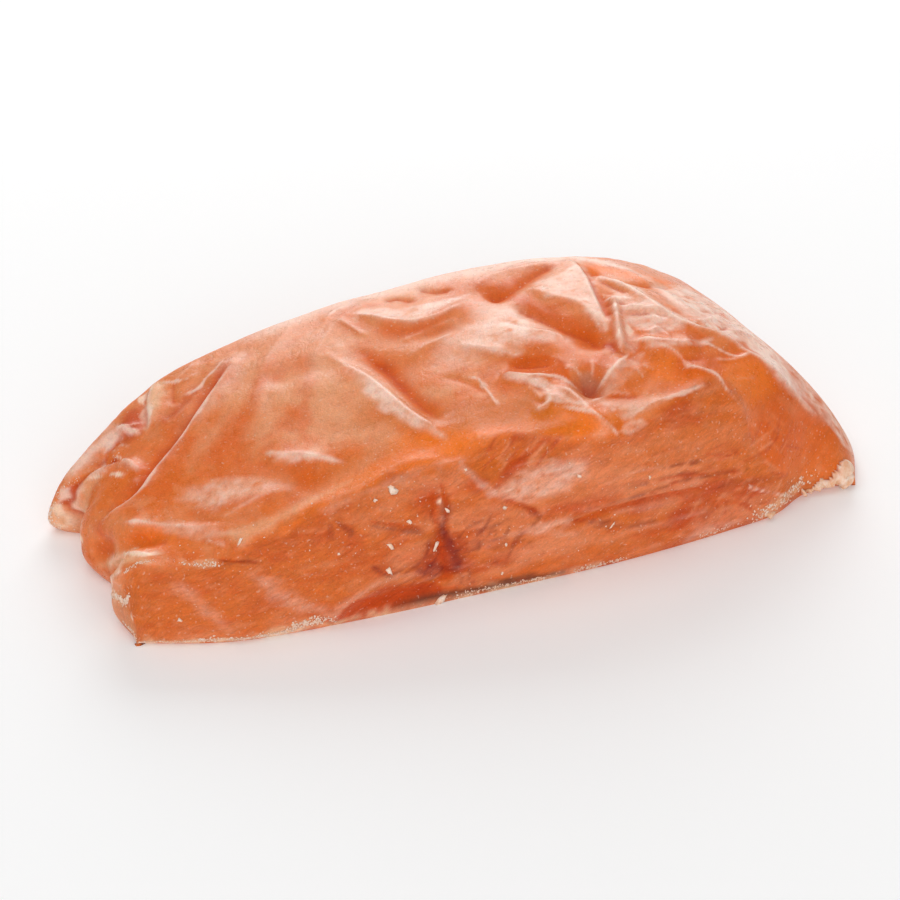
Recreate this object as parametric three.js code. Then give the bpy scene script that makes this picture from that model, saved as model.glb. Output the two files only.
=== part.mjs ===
// A skinless salmon portion: one block cut across a fillet, in one piece. The long front face is
// the knife's cut, where the muscle shows. The top, the far side and the ends are covered by the thin
// membrane that lay under the skin, drawn tight over the flesh in folds, creases and pits. The left
// end hangs in three tongues, and the right end runs out low and thin.
// Millimetres. +X runs along the cut face, +Y away from it and +Z up. The origin is the centre of the
// footprint's box, on the surface that the portion lies on.
import * as THREE from 'three';

// Size of the block
const LENGTH = 130;        // along the cut face, between the feet of the two ends
const LEFT_FOOT = 0.5;     // where the left end's foot stands, before its tongues

// Cross-sections along the length. "at" is the share of the length. "front" and "back" are the y of
// the two long edges of the footprint. "high" is the height over the front edge, the middle and the
// back edge.
const SECTIONS = [
  { at: 0.00, front: -1.5, back: 36.5, high: [12.5, 11.0, 7.8] },
  { at: 0.12, front: -7.1, back: 46.0, high: [14.0, 16.3, 16.2] },
  { at: 0.28, front: -9.5, back: 50.5, high: [19.0, 22.5, 20.2] },
  { at: 0.46, front: -10.6, back: 50.5, high: [24.0, 26.5, 23.6] },
  { at: 0.64, front: -11.2, back: 48.6, high: [25.5, 29.0, 25.8] },
  { at: 0.80, front: -10.1, back: 44.6, high: [22.0, 27.6, 25.0] },
  { at: 0.87, front: -8.9, back: 42.4, high: [17.8, 23.2, 22.0] },
  { at: 0.92, front: -5.8, back: 40.6, high: [14.0, 18.3, 18.2] },
  { at: 1.00, front: -5.6, back: 33.5, high: [5.5, 3.2, 1.8] },
];

// Outline of the left end, from the front edge (0) to the back edge (1): how far the flesh falls back
// from the foot line. The three low values are the tongues: near slab, middle lobe and far tip.
const TONGUES = [
  [0.00, 0.9], [0.10, -0.4], [0.20, -0.6], [0.28, 4.0], [0.38, 1.8],
  [0.62, -1.4], [0.73, 1.2], [0.80, 1.4], [0.90, -4.2], [1.00, -1.4],
];
const TONGUE_REACH = 0.055;   // share of the length in which the tongues fade into the block

// Outline of the right end, from the front edge (0) to the back edge (1): x of its foot
const RIGHT_FOOT = [[0, 129.0], [0.25, 133.2], [0.6, 130.4], [1, 126.6]];

// Walls round the block: how far each one leans in from foot to brim, and the share of the surface
// grid that it takes
const LEAN = { front: 6.5, back: 4.0, left: 5.0, right: 7.0 };
const WALL = { front: 0.27, back: 0.17, left: 0.08, right: 0.06 };
const BRIM = 2.5;            // roundness of the brim, as the power of a superellipse
// How far each wall draws in at its foot, under its own overhang, and the share of its height in
// which it does
const TUCK = { sides: 1.0, left: 1.4, right: 1.0 };
const TUCK_HEIGHT = { sides: 0.16, left: 0.4, right: 0.16 };
const CORNER = 0.6;          // share of the next wall's height below which a corner isn't drawn in
const END_WALLS = { left: 10.0, right: 8.0 };   // skin length counted over the two end walls

// Surface grid and relief
const CELLS_ALONG = 94;
const CELLS_AROUND = 60;
const CREST = 0.8;           // radius at the top of a fold
const LAP = 0.9;             // width of the slope where one layer laps over another
const RIM_FADE = 1.5;        // height above the resting surface within which the relief fades out
const RELIEF_SHARE = 0.75;   // share of every fold's and swell's rise that stands on the block
const CURVE_STEPS = 5;       // straight pieces between two points of a fold's line
const NORMAL_STEP = 0.004;   // grid share either side of a point, for the direction the skin faces
// How much farther than its nearest stretch another stretch of a line may be and still count: a
// least width, and a share of the distance
const BLEND = { least: 0.15, share: 0.12 };

// The sole: the flat rectangle in the middle of the underside that the portion rests on
const SOLE = { left: 22, right: 112, front: -2, back: 38 };

// Relief of the skin. A place on the skin is [along, around]: millimetres from the left foot along
// the block, and millimetres from the front foot up the cut face, over the top and down the back.
// A fold is a ridge, or a valley where its rise is negative. A lap is an edge where the skin on its
// left lies over the skin on its right. left and right are how far its two flanks reach, and fade is
// the share of its line in which it grows out of the skin at the start and at the end.
const fold = (line, rise, left, right, fade = [0.25, 0.25]) => (
  { line, rise, left, right, fade, lap: false });
const lap = (line, rise, left, right, fade = [0.25, 0.25]) => (
  { line, rise, left, right, fade, lap: true });

const LEFT_END = [
  lap([[44, 69], [36, 59], [29, 50], [23, 43], [17, 36], [10, 33]], 1.8, 7.0, 3.0, [0.25, 0.12]),
  fold([[46, 71], [34, 60], [26, 51]], 1.2, 2.2, 1.8),
  fold([[39, 65], [32, 58.5], [26, 54]], -0.8, 1.4, 1.4),
  lap([[30, 68], [27.5, 63], [25.5, 57], [24, 53]], 1.7, 3.5, 2.5),
  fold([[20, 53], [15, 49], [13, 46]], 1.0, 1.4, 1.4),
  lap([[20, 48], [12.5, 47], [9, 45.5], [6.5, 44.5], [5, 40], [5, 35]], 1.8, 4.0, 3.0, [0.2, 0.2]),
  fold([[18, 48], [20, 44], [19, 39]], 0.8, 1.2, 2.0),
  fold([[13, 30.5], [19, 26.5], [26, 25], [31, 22]], 1.0, 3.5, 1.2, [0.15, 0.4]),
  fold([[3.5, 29.5], [8, 26], [12, 22], [17, 19.5]], 1.1, 1.4, 1.6, [0.15, 0.2]),
  fold([[2, 27], [11, 18], [24, 17]], 0.7, 1.2, 1.4),
];
const LEFT_SLOPE = [
  fold([[37, 36.5], [41.5, 37.2], [45, 35], [48, 32.5]], 1.4, 3.0, 1.2, [0.3, 0.4]),
  fold([[24, 29.5], [28, 27], [31.5, 28.2], [36.5, 30], [41, 29]], 1.5, 4.5, 1.2, [0.3, 0.3]),
  fold([[57, 79], [45, 61], [37, 43]], 1.0, 3.5, 3.5, [0.3, 0.5]),
  fold([[75, 81], [60, 71], [48, 51], [44, 43]], 1.3, 4.0, 4.0, [0.2, 0.5]),
];
const MIDDLE = [
  fold([[55, 66], [58.5, 55], [59.7, 48.5], [61, 42], [64, 33.5]], 1.7, 1.2, 3.5, [0.4, 0.15]),
  fold([[60.5, 65], [63, 56], [63.2, 47], [65.3, 36.5]], -1.7, 3.5, 1.8, [0.35, 0.25]),
  fold([[65, 75], [69, 69], [73.5, 67], [79, 68], [85, 72]], 1.4, 3.0, 1.4, [0.2, 0.3]),
  fold([[84, 72], [91, 77], [105, 76]], 0.7, 2.0, 2.0),
  fold([[93.5, 71.5], [95.5, 64], [98, 59.5], [98, 54.5], [97, 49]], 1.2, 3.0, 1.2, [0.2, 0.15]),
  fold([[75, 58], [78, 54.5], [82, 52]], 0.9, 1.8, 1.1),
  fold([[77, 47], [80.5, 43.5], [82.5, 40.5]], 1.0, 1.5, 1.3),
  fold([[82.5, 41], [85.5, 38.5], [87, 34], [89, 29.5], [92, 26.5]], 1.3, 1.6, 1.8),
  fold([[78, 36], [81, 35.5], [82.5, 40]], 1.0, 1.3, 1.1),
];
const PEAK = [
  fold([[86, 70], [91, 70.5], [96, 73], [101, 74.5], [105, 74]], -1.3, 1.8, 2.2, [0.1, 0.25]),
  lap([[107, 76], [106, 70], [103.5, 64], [101, 57], [99, 51]], -1.6, 3.5, 5.0, [0.1, 0.2]),
  fold([[88, 67], [90.5, 60.5], [92.5, 55.5], [95, 51], [95, 45]], -1.7, 1.8, 2.2, [0.25, 0.2]),
  fold([[105, 59], [102, 53.5], [99.5, 49], [97, 43.5]], 2.2, 0.9, 0.9, [0.2, 0.2]),
  fold([[89, 42], [89.5, 37.5], [92.5, 35.5], [98, 33]], -1.1, 1.6, 1.2),
  fold([[98, 42.5], [93, 39.8], [90, 38]], 1.5, 1.2, 2.0),
];
const RIGHT_SLOPE = [
  fold([
    [106.5, 69], [108.5, 57.5], [110.5, 46], [116, 40], [120.5, 33], [128, 20.5], [134, 14],
    [138, 10]
  ], 1.7, 2.2, 3.0, [0.06, 0.2]),
  fold([[107, 73], [108, 65], [112, 60], [123, 57]], -1.0, 1.4, 1.4),
  fold([[99, 45], [102, 44.5], [104, 42.5], [111, 39]], 1.3, 1.5, 1.2),
  fold([
    [99.5, 43.5], [104, 41], [106.5, 36], [110, 32], [113.5, 26.5], [117, 18]
  ], 1.6, 2.6, 3.0, [0.1, 0.25]),
  fold([[110, 31.5], [102, 31], [92.5, 29]], 0.8, 1.2, 2.0, [0.15, 0.3]),
  fold([[104, 55], [107, 51], [107, 46]], 0.8, 1.0, 1.0),
];
const CUT_FACE = [
  fold([[26, 18], [37, 24], [47, 26], [57, 30], [65, 29]], 1.2, 3.5, 2.5, [0.1, 0.15]),
  fold([[64, 31], [71, 32], [81, 29], [95, 27]], 1.3, 3.5, 2.5, [0.2, 0.2]),
  fold([[64, 30], [67, 24], [69, 21]], 0.8, 1.6, 1.6),
  fold([[69, 21], [76, 23], [84, 23]], 0.9, 2.0, 2.0),
  fold([[60, 28], [60, 17], [62, 3]], -1.5, 1.8, 1.8, [0.3, 0.1]),
  fold([[71, 19], [74, 17], [78, 15]], -0.7, 1.4, 1.4),
  fold([[80, 10], [94, 12], [110, 11]], -0.7, 1.4, 1.4),
  fold([[104, 10], [114, 6], [120, 3]], -0.5, 1.4, 1.4),
  fold([[66, 9], [73, 12], [87, 8]], 0.8, 2.0, 2.0),
  fold([[41, 2], [47, 7], [53, 9]], 1.2, 1.4, 2.2, [0.05, 0.4]),
];

// Swells and hollows: rounded rises of the flesh, or pits where the rise is negative
const SWELLS = [
  { place: [14, 25], long: 5.0, wide: 2.1, rise: -2.3 },    // pocket over the near slab
  { place: [6.5, 30], long: 2.6, wide: 2.6, rise: -2.0 },    // its mouth, between slab and lobe
  { place: [27, 27], long: 5.0, wide: 1.6, rise: -0.9 },
  { place: [41, 31], long: 6.0, wide: 3.5, rise: -0.7 },
  { place: [50, 59], long: 8.0, wide: 3.0, rise: -0.9 },
  { place: [67, 56], long: 6.0, wide: 4.0, rise: -0.6 },    // valley right of the centre ridge
  { place: [74, 64], long: 7.0, wide: 2.6, rise: -0.9 },
  { place: [88, 70.5], long: 2.4, wide: 2.4, rise: -1.0 },
  { place: [84, 59], long: 6.0, wide: 6.0, rise: 0.8 },
  { place: [83.5, 49], long: 4.0, wide: 2.4, rise: -1.3 },
  { place: [94, 51], long: 3.0, wide: 3.0, rise: -0.7 },    // foot of the valley below the peak
  { place: [89.5, 39.5], long: 2.6, wide: 2.8, rise: -3.0 },    // the deepest pit
  { place: [117, 36], long: 4.4, wide: 2.5, rise: -0.8 },
  { place: [123, 20], long: 8.0, wide: 7.0, rise: -1.2 },    // flat of the right end
  { place: [71, 27], long: 5.2, wide: 3.0, rise: -1.3 },    // pulled muscle under the brim
  { place: [56, 3], long: 10.5, wide: 2.6, rise: -2.6 },    // undercut at the dark strip
  { place: [29, 9], long: 8.0, wide: 5.0, rise: 0.5 },
  { place: [79, 16], long: 8.0, wide: 4.0, rise: 0.6 },
  { place: [97, 20], long: 8.0, wide: 4.0, rise: 0.5 },
];

// The far side, finished like the rest: folds that run down it from the brim, unevenly spaced. Each
// starts up to "ragged" below the top, and its rise and reach lie between two bounds.
const FAR_SIDE = {
  folds: 13, from: 12, to: 122, top: 84, foot: 106, ragged: 4, slant: 9, sway: 5,
  rise: [0.8, 1.5], reach: [1.5, 3.0], seed: 41,
};
const RANDOM_STEP = 16807;
const RANDOM_SPAN = 2147483647;

const clamp = (x) => Math.min(Math.max(x, 0), 1);
const ease = (x) => clamp(x) ** 2 * (3 - 2 * clamp(x));
const mix = (from, to, share) => from * (1 - share) + to * share;

// The same run of numbers between 0 and 1 each time, from a seed
function drawsFrom(seed) {
  let state = seed;
  return () => {
    state = (state * RANDOM_STEP) % RANDOM_SPAN;
    return state / RANDOM_SPAN;
  };
}

// Height at x of the smooth curve through the points [x, y]: a cubic between each two, whose tangent
// at an inner point is the mean of the slopes on its two sides
function through(points, x) {
  const last = points.length - 2;
  const slope = (k) => (points[k + 1][1] - points[k][1]) / (points[k + 1][0] - points[k][0]);
  const tangent = (k) => {
    if (k === 0) return slope(0);
    if (k > last) return slope(last);
    return (slope(k - 1) + slope(k)) / 2;
  };
  let k = 0;
  while (k < last && x >= points[k + 1][0]) k += 1;
  const [x0, y0] = points[k];
  const [x1, y1] = points[k + 1];
  const span = x1 - x0;
  const t = clamp((x - x0) / span);
  const rise = t * t * (3 - 2 * t);
  return mix(y0, y1, rise)
    + span * t * (1 - t) * ((1 - t) * tangent(k) - t * tangent(k + 1));
}

// How a wall climbs: u goes from one foot (0) to the other (1) of a section. "up" is the share of the
// full height reached, and "in" is the share of each wall's lean already taken.
function climb(u, first, second) {
  const nearAngle = clamp(u / first) * Math.PI / 2;
  const farAngle = clamp((1 - u) / second) * Math.PI / 2;
  const power = 2 / BRIM;
  return {
    up: Math.sin(nearAngle) ** power * Math.sin(farAngle) ** power,
    nearIn: 1 - Math.cos(nearAngle) ** power,
    farIn: 1 - Math.cos(farAngle) ** power,
  };
}

// Share of the way across at grid value u: up one wall, evenly over the top and down the other wall
function crossing(u, wall, first, second, nearLean, farLean) {
  if (u < first) return nearLean * wall.nearIn;
  if (u > 1 - second) return 1 - farLean * wall.farIn;
  return nearLean + (u - first) / (1 - first - second) * (1 - nearLean - farLean);
}

const section = (pick) => SECTIONS.map((s) => [s.at, pick(s)]);
const FRONT = section((s) => s.front);
const BACK = section((s) => s.back);
const HIGH = [0, 1, 2].map((k) => section((s) => s.high[k]));

// Point of the smooth block at grid values (u, v), with its place on the skin
function blockPoint(u, v) {
  const length = climb(u, WALL.left, WALL.right);
  const round = climb(v, WALL.front, WALL.back);
  let s = crossing(u, length, WALL.left, WALL.right, LEAN.left / LENGTH, LEAN.right / LENGTH);
  const width = through(BACK, s) - through(FRONT, s);
  let t = crossing(v, round, WALL.front, WALL.back, LEAN.front / width, LEAN.back / width);
  const [front, middle, back] = HIGH.map((curve) => through(curve, s));
  const along = s * LENGTH
    + (u < 0.5 ? END_WALLS.left * length.up : END_WALLS.left + END_WALLS.right * (1 - length.up));
  const around = t * width + (v < 0.5 ? front * round.up : front + back * (1 - round.up));
  const tuck = (side, up, beside) => (
    TUCK[side] * clamp(1 - up / TUCK_HEIGHT[side]) ** 2 * ease(beside / CORNER));
  s += (u < 0.5 ? tuck('left', length.up, round.up) : -tuck('right', length.up, round.up)) / LENGTH;
  t += (v < 0.5 ? 1 : -1) * tuck('sides', round.up, length.up) / width;
  const left = LEFT_FOOT + through(TONGUES, t) * Math.exp(-s / TONGUE_REACH);
  const arch = front * (1 - t) * (1 - 2 * t) + middle * 4 * t * (1 - t) + back * t * (2 * t - 1);
  const point = new THREE.Vector3(
    mix(left, through(RIGHT_FOOT, t), s),
    mix(through(FRONT, s), through(BACK, s), t),
    arch * length.up * round.up,
  );
  return { point, along, around };
}

// Direction that the smooth block faces at (u, v)
function blockNormal(u, v) {
  const at = (a, b) => blockPoint(clamp(a), clamp(b)).point;
  const alongU = at(u + NORMAL_STEP, v).sub(at(u - NORMAL_STEP, v));
  const alongV = at(u, v + NORMAL_STEP).sub(at(u, v - NORMAL_STEP));
  return alongU.cross(alongV).normalize();
}

// Straight pieces of a fold's line, through its points in a smooth curve
function piecesOf(line) {
  const curve = new THREE.CatmullRomCurve3(
    line.map(([a, b]) => new THREE.Vector3(a, b, 0)), false, 'catmullrom', 0.5);
  const points = curve.getPoints(CURVE_STEPS * (line.length - 1));
  const pieces = [];
  let start = 0;
  for (let k = 0; k + 1 < points.length; k += 1) {
    const direction = points[k + 1].clone().sub(points[k]);
    const length = direction.length();
    pieces.push({ from: points[k], direction: direction.normalize(), length, start });
    start += length;
  }
  return { pieces, total: start };
}

// Nearest place of a line to (along, around): its distance, whether the place lies left of the line,
// and the share of the line run there, blended where two stretches are about equally near
function nearest({ pieces, total }, along, around) {
  const found = pieces.map(({ from, direction, length, start }) => {
    const a = along - from.x;
    const b = around - from.y;
    const run = Math.min(Math.max(a * direction.x + b * direction.y, 0), length);
    return {
      distance: Math.hypot(a - run * direction.x, b - run * direction.y),
      left: direction.x * b - direction.y * a > 0,
      share: (start + run) / total,
    };
  });
  const best = found.reduce((one, other) => (other.distance < one.distance ? other : one));
  const blend = BLEND.least + BLEND.share * best.distance;
  let weights = 0;
  let share = 0;
  for (const one of found) {
    const weight = Math.exp(-(one.distance - best.distance) / blend);
    weights += weight;
    share += weight * one.share;
  }
  return { distance: best.distance, left: best.left, share: share / weights };
}

// Folds down the far side, drawn from the seed
function farSideFolds() {
  const draw = drawsFrom(FAR_SIDE.seed);
  const between = ([low, high]) => mix(low, high, draw());
  const spacing = (FAR_SIDE.to - FAR_SIDE.from) / FAR_SIDE.folds;
  return Array.from({ length: FAR_SIDE.folds }, (_, k) => {
    const top = FAR_SIDE.from + spacing * (k + draw());
    const slant = FAR_SIDE.slant * (draw() - 0.5);
    const sway = FAR_SIDE.sway * (draw() - 0.5);
    const line = [
      [top, FAR_SIDE.top + FAR_SIDE.ragged * draw()],
      [top + slant / 2 + sway, mix(FAR_SIDE.top, FAR_SIDE.foot, 0.5)],
      [top + slant, FAR_SIDE.foot],
    ];
    return fold(line, between(FAR_SIDE.rise), between(FAR_SIDE.reach), between(FAR_SIDE.reach));
  });
}

const RELIEF = [
  ...LEFT_END, ...LEFT_SLOPE, ...MIDDLE, ...PEAK, ...RIGHT_SLOPE, ...CUT_FACE, ...farSideFolds(),
].map((one) => ({ ...one, ...piecesOf(one.line) }));

// Height of the relief over the smooth block at a place on the skin
function reliefAt(along, around) {
  let height = 0;
  for (const one of RELIEF) {
    const { distance, left, share } = nearest(one, along, around);
    const reach = left ? one.left : one.right;
    const taper = ease(share / one.fade[0]) * ease((1 - share) / one.fade[1]);
    if (one.lap) {
      const side = left ? distance : -distance;
      height += one.rise / 2 * taper * Math.tanh(side / LAP) * Math.exp(-distance / reach);
    } else {
      const flank = Math.hypot(distance, CREST) - CREST;
      height += one.rise * taper * Math.exp(-flank / reach);
    }
  }
  for (const { place, long, wide, rise } of SWELLS) {
    const a = (along - place[0]) / long;
    const b = (around - place[1]) / wide;
    height += rise * Math.exp(-(a * a + b * b));
  }
  return height * RELIEF_SHARE;
}

// Point of the finished skin: the smooth block with its relief, never below the resting surface
function skinPoint(u, v) {
  const { point, along, around } = blockPoint(u, v);
  const fade = clamp(point.z / RIM_FADE);
  if (fade > 0) point.addScaledVector(blockNormal(u, v), reliefAt(along, around) * fade);
  point.z = Math.max(point.z, 0);
  return point;
}

// The flat underside: the sole, and round it four fans. Each joins a corner of the sole to the stretch
// of the rim that lies in the same quarter.
function addUnderside(vertices, triangles, index) {
  const corners = [
    [SOLE.left, SOLE.front], [SOLE.right, SOLE.front], [SOLE.right, SOLE.back], [SOLE.left, SOLE.back],
  ].map(([x, y]) => vertices.push(x, y, 0) / 3 - 1);
  const middle = { x: (SOLE.left + SOLE.right) / 2, y: (SOLE.front + SOLE.back) / 2 };
  const cornerOf = (vertex) => {
    const isRight = vertices[3 * vertex] > middle.x;
    const isBack = vertices[3 * vertex + 1] > middle.y;
    return corners[isBack ? 3 - isRight : Number(isRight)];
  };
  const rim = [];
  for (let i = 0; i < CELLS_ALONG; i += 1) rim.push(index(i, 0));
  for (let j = 0; j < CELLS_AROUND; j += 1) rim.push(index(CELLS_ALONG, j));
  for (let i = CELLS_ALONG; i > 0; i -= 1) rim.push(index(i, CELLS_AROUND));
  for (let j = CELLS_AROUND; j > 0; j -= 1) rim.push(index(0, j));
  rim.forEach((here, k) => {
    const next = rim[(k + 1) % rim.length];
    const corner = cornerOf(here);
    const nextCorner = cornerOf(next);
    triangles.push(here, corner, next);
    if (nextCorner !== corner) triangles.push(next, corner, nextCorner);
  });
  triangles.push(corners[0], corners[2], corners[1], corners[0], corners[3], corners[2]);
}

// The closed body: the skin as a grid of triangles, and a flat underside across its rim
function portionGeometry() {
  const vertices = [];
  const triangles = [];
  const index = (i, j) => i * (CELLS_AROUND + 1) + j;
  for (let i = 0; i <= CELLS_ALONG; i += 1) {
    for (let j = 0; j <= CELLS_AROUND; j += 1) {
      const onRim = i === 0 || j === 0 || i === CELLS_ALONG || j === CELLS_AROUND;
      const point = skinPoint(i / CELLS_ALONG, j / CELLS_AROUND);
      vertices.push(point.x, point.y, onRim ? 0 : point.z);
    }
  }
  for (let i = 0; i < CELLS_ALONG; i += 1) {
    for (let j = 0; j < CELLS_AROUND; j += 1) {
      const [a, b, c, d] = [index(i, j), index(i + 1, j), index(i + 1, j + 1), index(i, j + 1)];
      triangles.push(a, b, c, a, c, d);
    }
  }
  addUnderside(vertices, triangles, index);
  const geometry = new THREE.BufferGeometry();
  geometry.setAttribute('position', new THREE.Float32BufferAttribute(vertices, 3));
  geometry.setIndex(triangles);
  geometry.computeBoundingBox();
  const middle = geometry.boundingBox.getCenter(new THREE.Vector3());
  geometry.translate(-middle.x, -middle.y, -geometry.boundingBox.min.z);
  geometry.computeVertexNormals();
  return geometry;
}

const flesh = new THREE.MeshStandardMaterial({ color: 0xd98050, roughness: 0.45, metalness: 0 });
const portion = new THREE.Mesh(portionGeometry(), flesh);
portion.name = 'salmon_portion';

const group = new THREE.Group();
group.add(portion);

export default group;
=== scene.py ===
import bpy
import numpy as np
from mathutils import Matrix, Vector


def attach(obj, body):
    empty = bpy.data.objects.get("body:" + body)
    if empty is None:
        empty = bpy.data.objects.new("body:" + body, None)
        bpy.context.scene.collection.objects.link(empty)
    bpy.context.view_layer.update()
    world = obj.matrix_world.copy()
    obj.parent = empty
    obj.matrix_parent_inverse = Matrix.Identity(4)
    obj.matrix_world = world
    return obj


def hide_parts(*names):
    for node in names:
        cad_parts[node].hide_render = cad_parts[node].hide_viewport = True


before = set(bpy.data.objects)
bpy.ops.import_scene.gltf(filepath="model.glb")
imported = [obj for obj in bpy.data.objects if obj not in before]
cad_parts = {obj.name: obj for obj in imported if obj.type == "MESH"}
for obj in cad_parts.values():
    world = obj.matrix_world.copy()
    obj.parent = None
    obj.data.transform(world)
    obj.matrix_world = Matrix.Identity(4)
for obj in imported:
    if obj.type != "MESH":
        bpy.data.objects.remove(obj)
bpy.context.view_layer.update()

# The block of flesh
# One block of salmon, cut across a fillet with a knife. Its long front face is the cut, where the muscle
# shows. The thin membrane that lay under the skin still covers the top, the ends and the far side, and is
# drawn into folds, creases and one deep pit.

# Sizes are millimetres, in the block's own frame: x along the cut face from the left foot, y away from
# it, z up. A place on the skin is (along, around): millimetres along the block, and millimetres from
# the front foot up the cut face, over the top and down the far side.
MM = 0.001
LENGTH = 130.0
# Sections across the block: their shares of the length, the y of the near and the far foot, and the
# heights near the front, in the middle and near the back
SECTIONS = {
    "at": (0.00, 0.12, 0.28, 0.46, 0.64, 0.80, 0.87, 0.92, 1.00),
    "front": (-1.5, -7.1, -9.5, -10.6, -11.2, -10.1, -8.9, -5.8, -5.6),
    "back": (36.5, 46.0, 50.5, 50.5, 48.6, 44.6, 42.4, 40.6, 33.5),
    "high_front": (12.5, 14.0, 19.0, 24.0, 25.5, 22.0, 17.8, 14.0, 5.5),
    "high_middle": (11.0, 16.3, 22.5, 26.5, 29.0, 27.6, 23.2, 18.3, 3.2),
    "high_back": (7.8, 16.2, 20.2, 23.6, 25.8, 25.0, 22.0, 18.2, 1.8),
}
# The feet of the two ends, at shares of the way across: three tongues at the left, whose notches reach
# a share of the length into the block, and the low toe at the right
LEFT_FOOT = 0.5
TONGUES_ACROSS = (0.0, 0.1, 0.2, 0.28, 0.38, 0.62, 0.73, 0.8, 0.9, 1.0)
TONGUES_BACK = (0.9, -0.4, -0.6, 4.0, 1.8, -1.4, 1.2, 1.4, -4.2, -1.4)
TONGUE_REACH = 0.055
RIGHT_ACROSS = (0.0, 0.25, 0.6, 1.0)
RIGHT_FOOT = (129.0, 133.2, 130.4, 126.6)
# The walls: how far each leans in, its share of the grid, the power of the brim's curve, how far the
# foot is tucked in, up to which share of the height, and out to which share of the way from a corner
LEAN = {"front": 6.5, "back": 4.0, "left": 5.0, "right": 7.0}
WALL = {"front": 0.27, "back": 0.17, "left": 0.08, "right": 0.06}
BRIM = 2.5
TUCK = {"sides": 1.0, "left": 1.4, "right": 1.0}
TUCK_HEIGHT = {"sides": 0.16, "left": 0.4, "right": 0.16}
CORNER = 0.6
# Millimetres of skin up each end, the height over which the relief fades in above the floor, and the
# share of its full rise that the relief has
END_WALLS = {"left": 10.0, "right": 8.0}
RIM_FADE = 1.5
RELIEF_SHARE = 0.75


def ease(x):
    """0 below 0, 1 above 1, and the smooth cubic 3x^2 - 2x^3 between."""
    x = np.clip(x, 0, 1)
    return x * x * (3 - 2 * x)


def through(xs, ys, x):
    """Height at x of the smooth curve through (xs, ys): a cubic between each two points, whose
    tangent at an inner point is the mean of the slopes on its two sides."""
    xs, ys = np.asarray(xs, float), np.asarray(ys, float)
    slope = np.diff(ys) / np.diff(xs)
    tangent = np.concatenate([slope[:1], (slope[:-1] + slope[1:]) / 2, slope[-1:]])
    k = np.clip(np.searchsorted(xs, x, side="right") - 1, 0, len(xs) - 2)
    span = xs[k + 1] - xs[k]
    t = np.clip((x - xs[k]) / span, 0, 1)
    rise = t * t * (3 - 2 * t)
    bend = span * t * (1 - t) * ((1 - t) * tangent[k] - t * tangent[k + 1])
    return ys[k] * (1 - rise) + ys[k + 1] * rise + bend


def climb(u, first, second):
    """Share of the height reached at u from one foot (0) to the other (1), and the share of each
    wall's lean already taken: quarter superellipses, up = sin^(2/n) and in = 1 - cos^(2/n)."""
    near = np.clip(u / first, 0, 1) * np.pi / 2
    far = np.clip((1 - u) / second, 0, 1) * np.pi / 2
    power = 2 / BRIM
    up = np.sin(near) ** power * np.sin(far) ** power
    return up, 1 - np.cos(near) ** power, 1 - np.cos(far) ** power


def crossing(u, near_in, far_in, first, second, near_lean, far_lean):
    """Share of the way across: up one wall, evenly over the top and down the other wall."""
    flat = near_lean + (u - first) / (1 - first - second) * (1 - near_lean - far_lean)
    return np.where(u < first, near_lean * near_in, np.where(u > 1 - second, 1 - far_lean * far_in, flat))


def tuck(up, beside, wall):
    """How far a wall draws in under its overhang: size * (1 - up / height)^2, less beside a corner."""
    return TUCK[wall] * np.clip(1 - up / TUCK_HEIGHT[wall], 0, 1) ** 2 * ease(beside / CORNER)


def block(u, v):
    """The smooth block at grid values (u, v), and its places on the skin. Its height is a parabola
    through the front, middle and back heights of the section, times both walls' shares."""
    up_u, left_in, right_in = climb(u, WALL["left"], WALL["right"])
    up_v, front_in, back_in = climb(v, WALL["front"], WALL["back"])
    s = crossing(u, left_in, right_in, WALL["left"], WALL["right"],
                 LEAN["left"] / LENGTH, LEAN["right"] / LENGTH)
    at = SECTIONS["at"]
    width = through(at, SECTIONS["back"], s) - through(at, SECTIONS["front"], s)
    t = crossing(v, front_in, back_in, WALL["front"], WALL["back"],
                 LEAN["front"] / width, LEAN["back"] / width)
    front, middle, back = (through(at, SECTIONS["high_" + part], s) for part in ("front", "middle", "back"))
    right_end = END_WALLS["left"] + END_WALLS["right"] * (1 - up_u)
    along = s * LENGTH + np.where(u < 0.5, END_WALLS["left"] * up_u, right_end)
    around = t * width + np.where(v < 0.5, front * up_v, front + back * (1 - up_v))
    s = s + np.where(u < 0.5, tuck(up_u, up_v, "left"), -tuck(up_u, up_v, "right")) / LENGTH
    t = t + np.where(v < 0.5, 1, -1) * tuck(up_v, up_u, "sides") / width
    left = LEFT_FOOT + through(TONGUES_ACROSS, TONGUES_BACK, t) * np.exp(-s / TONGUE_REACH)
    x = left * (1 - s) + through(RIGHT_ACROSS, RIGHT_FOOT, t) * s
    y = through(at, SECTIONS["front"], s) * (1 - t) + through(at, SECTIONS["back"], s) * t
    z = (front * (1 - t) * (1 - 2 * t) + middle * 4 * t * (1 - t) + back * t * (2 * t - 1)) * up_u * up_v
    return np.stack([x, y, z], -1), along, around


def facing(u, v, step=0.004):
    """Unit direction that the smooth block faces: the cross product of its two grid directions."""
    low_u, high_u = np.clip(u - step, 0, 1), np.clip(u + step, 0, 1)
    low_v, high_v = np.clip(v - step, 0, 1), np.clip(v + step, 0, 1)
    normal = np.cross(block(high_u, v)[0] - block(low_u, v)[0], block(u, high_v)[0] - block(u, low_v)[0])
    return normal / np.maximum(np.linalg.norm(normal, axis=-1, keepdims=True), 1e-9)


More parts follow.
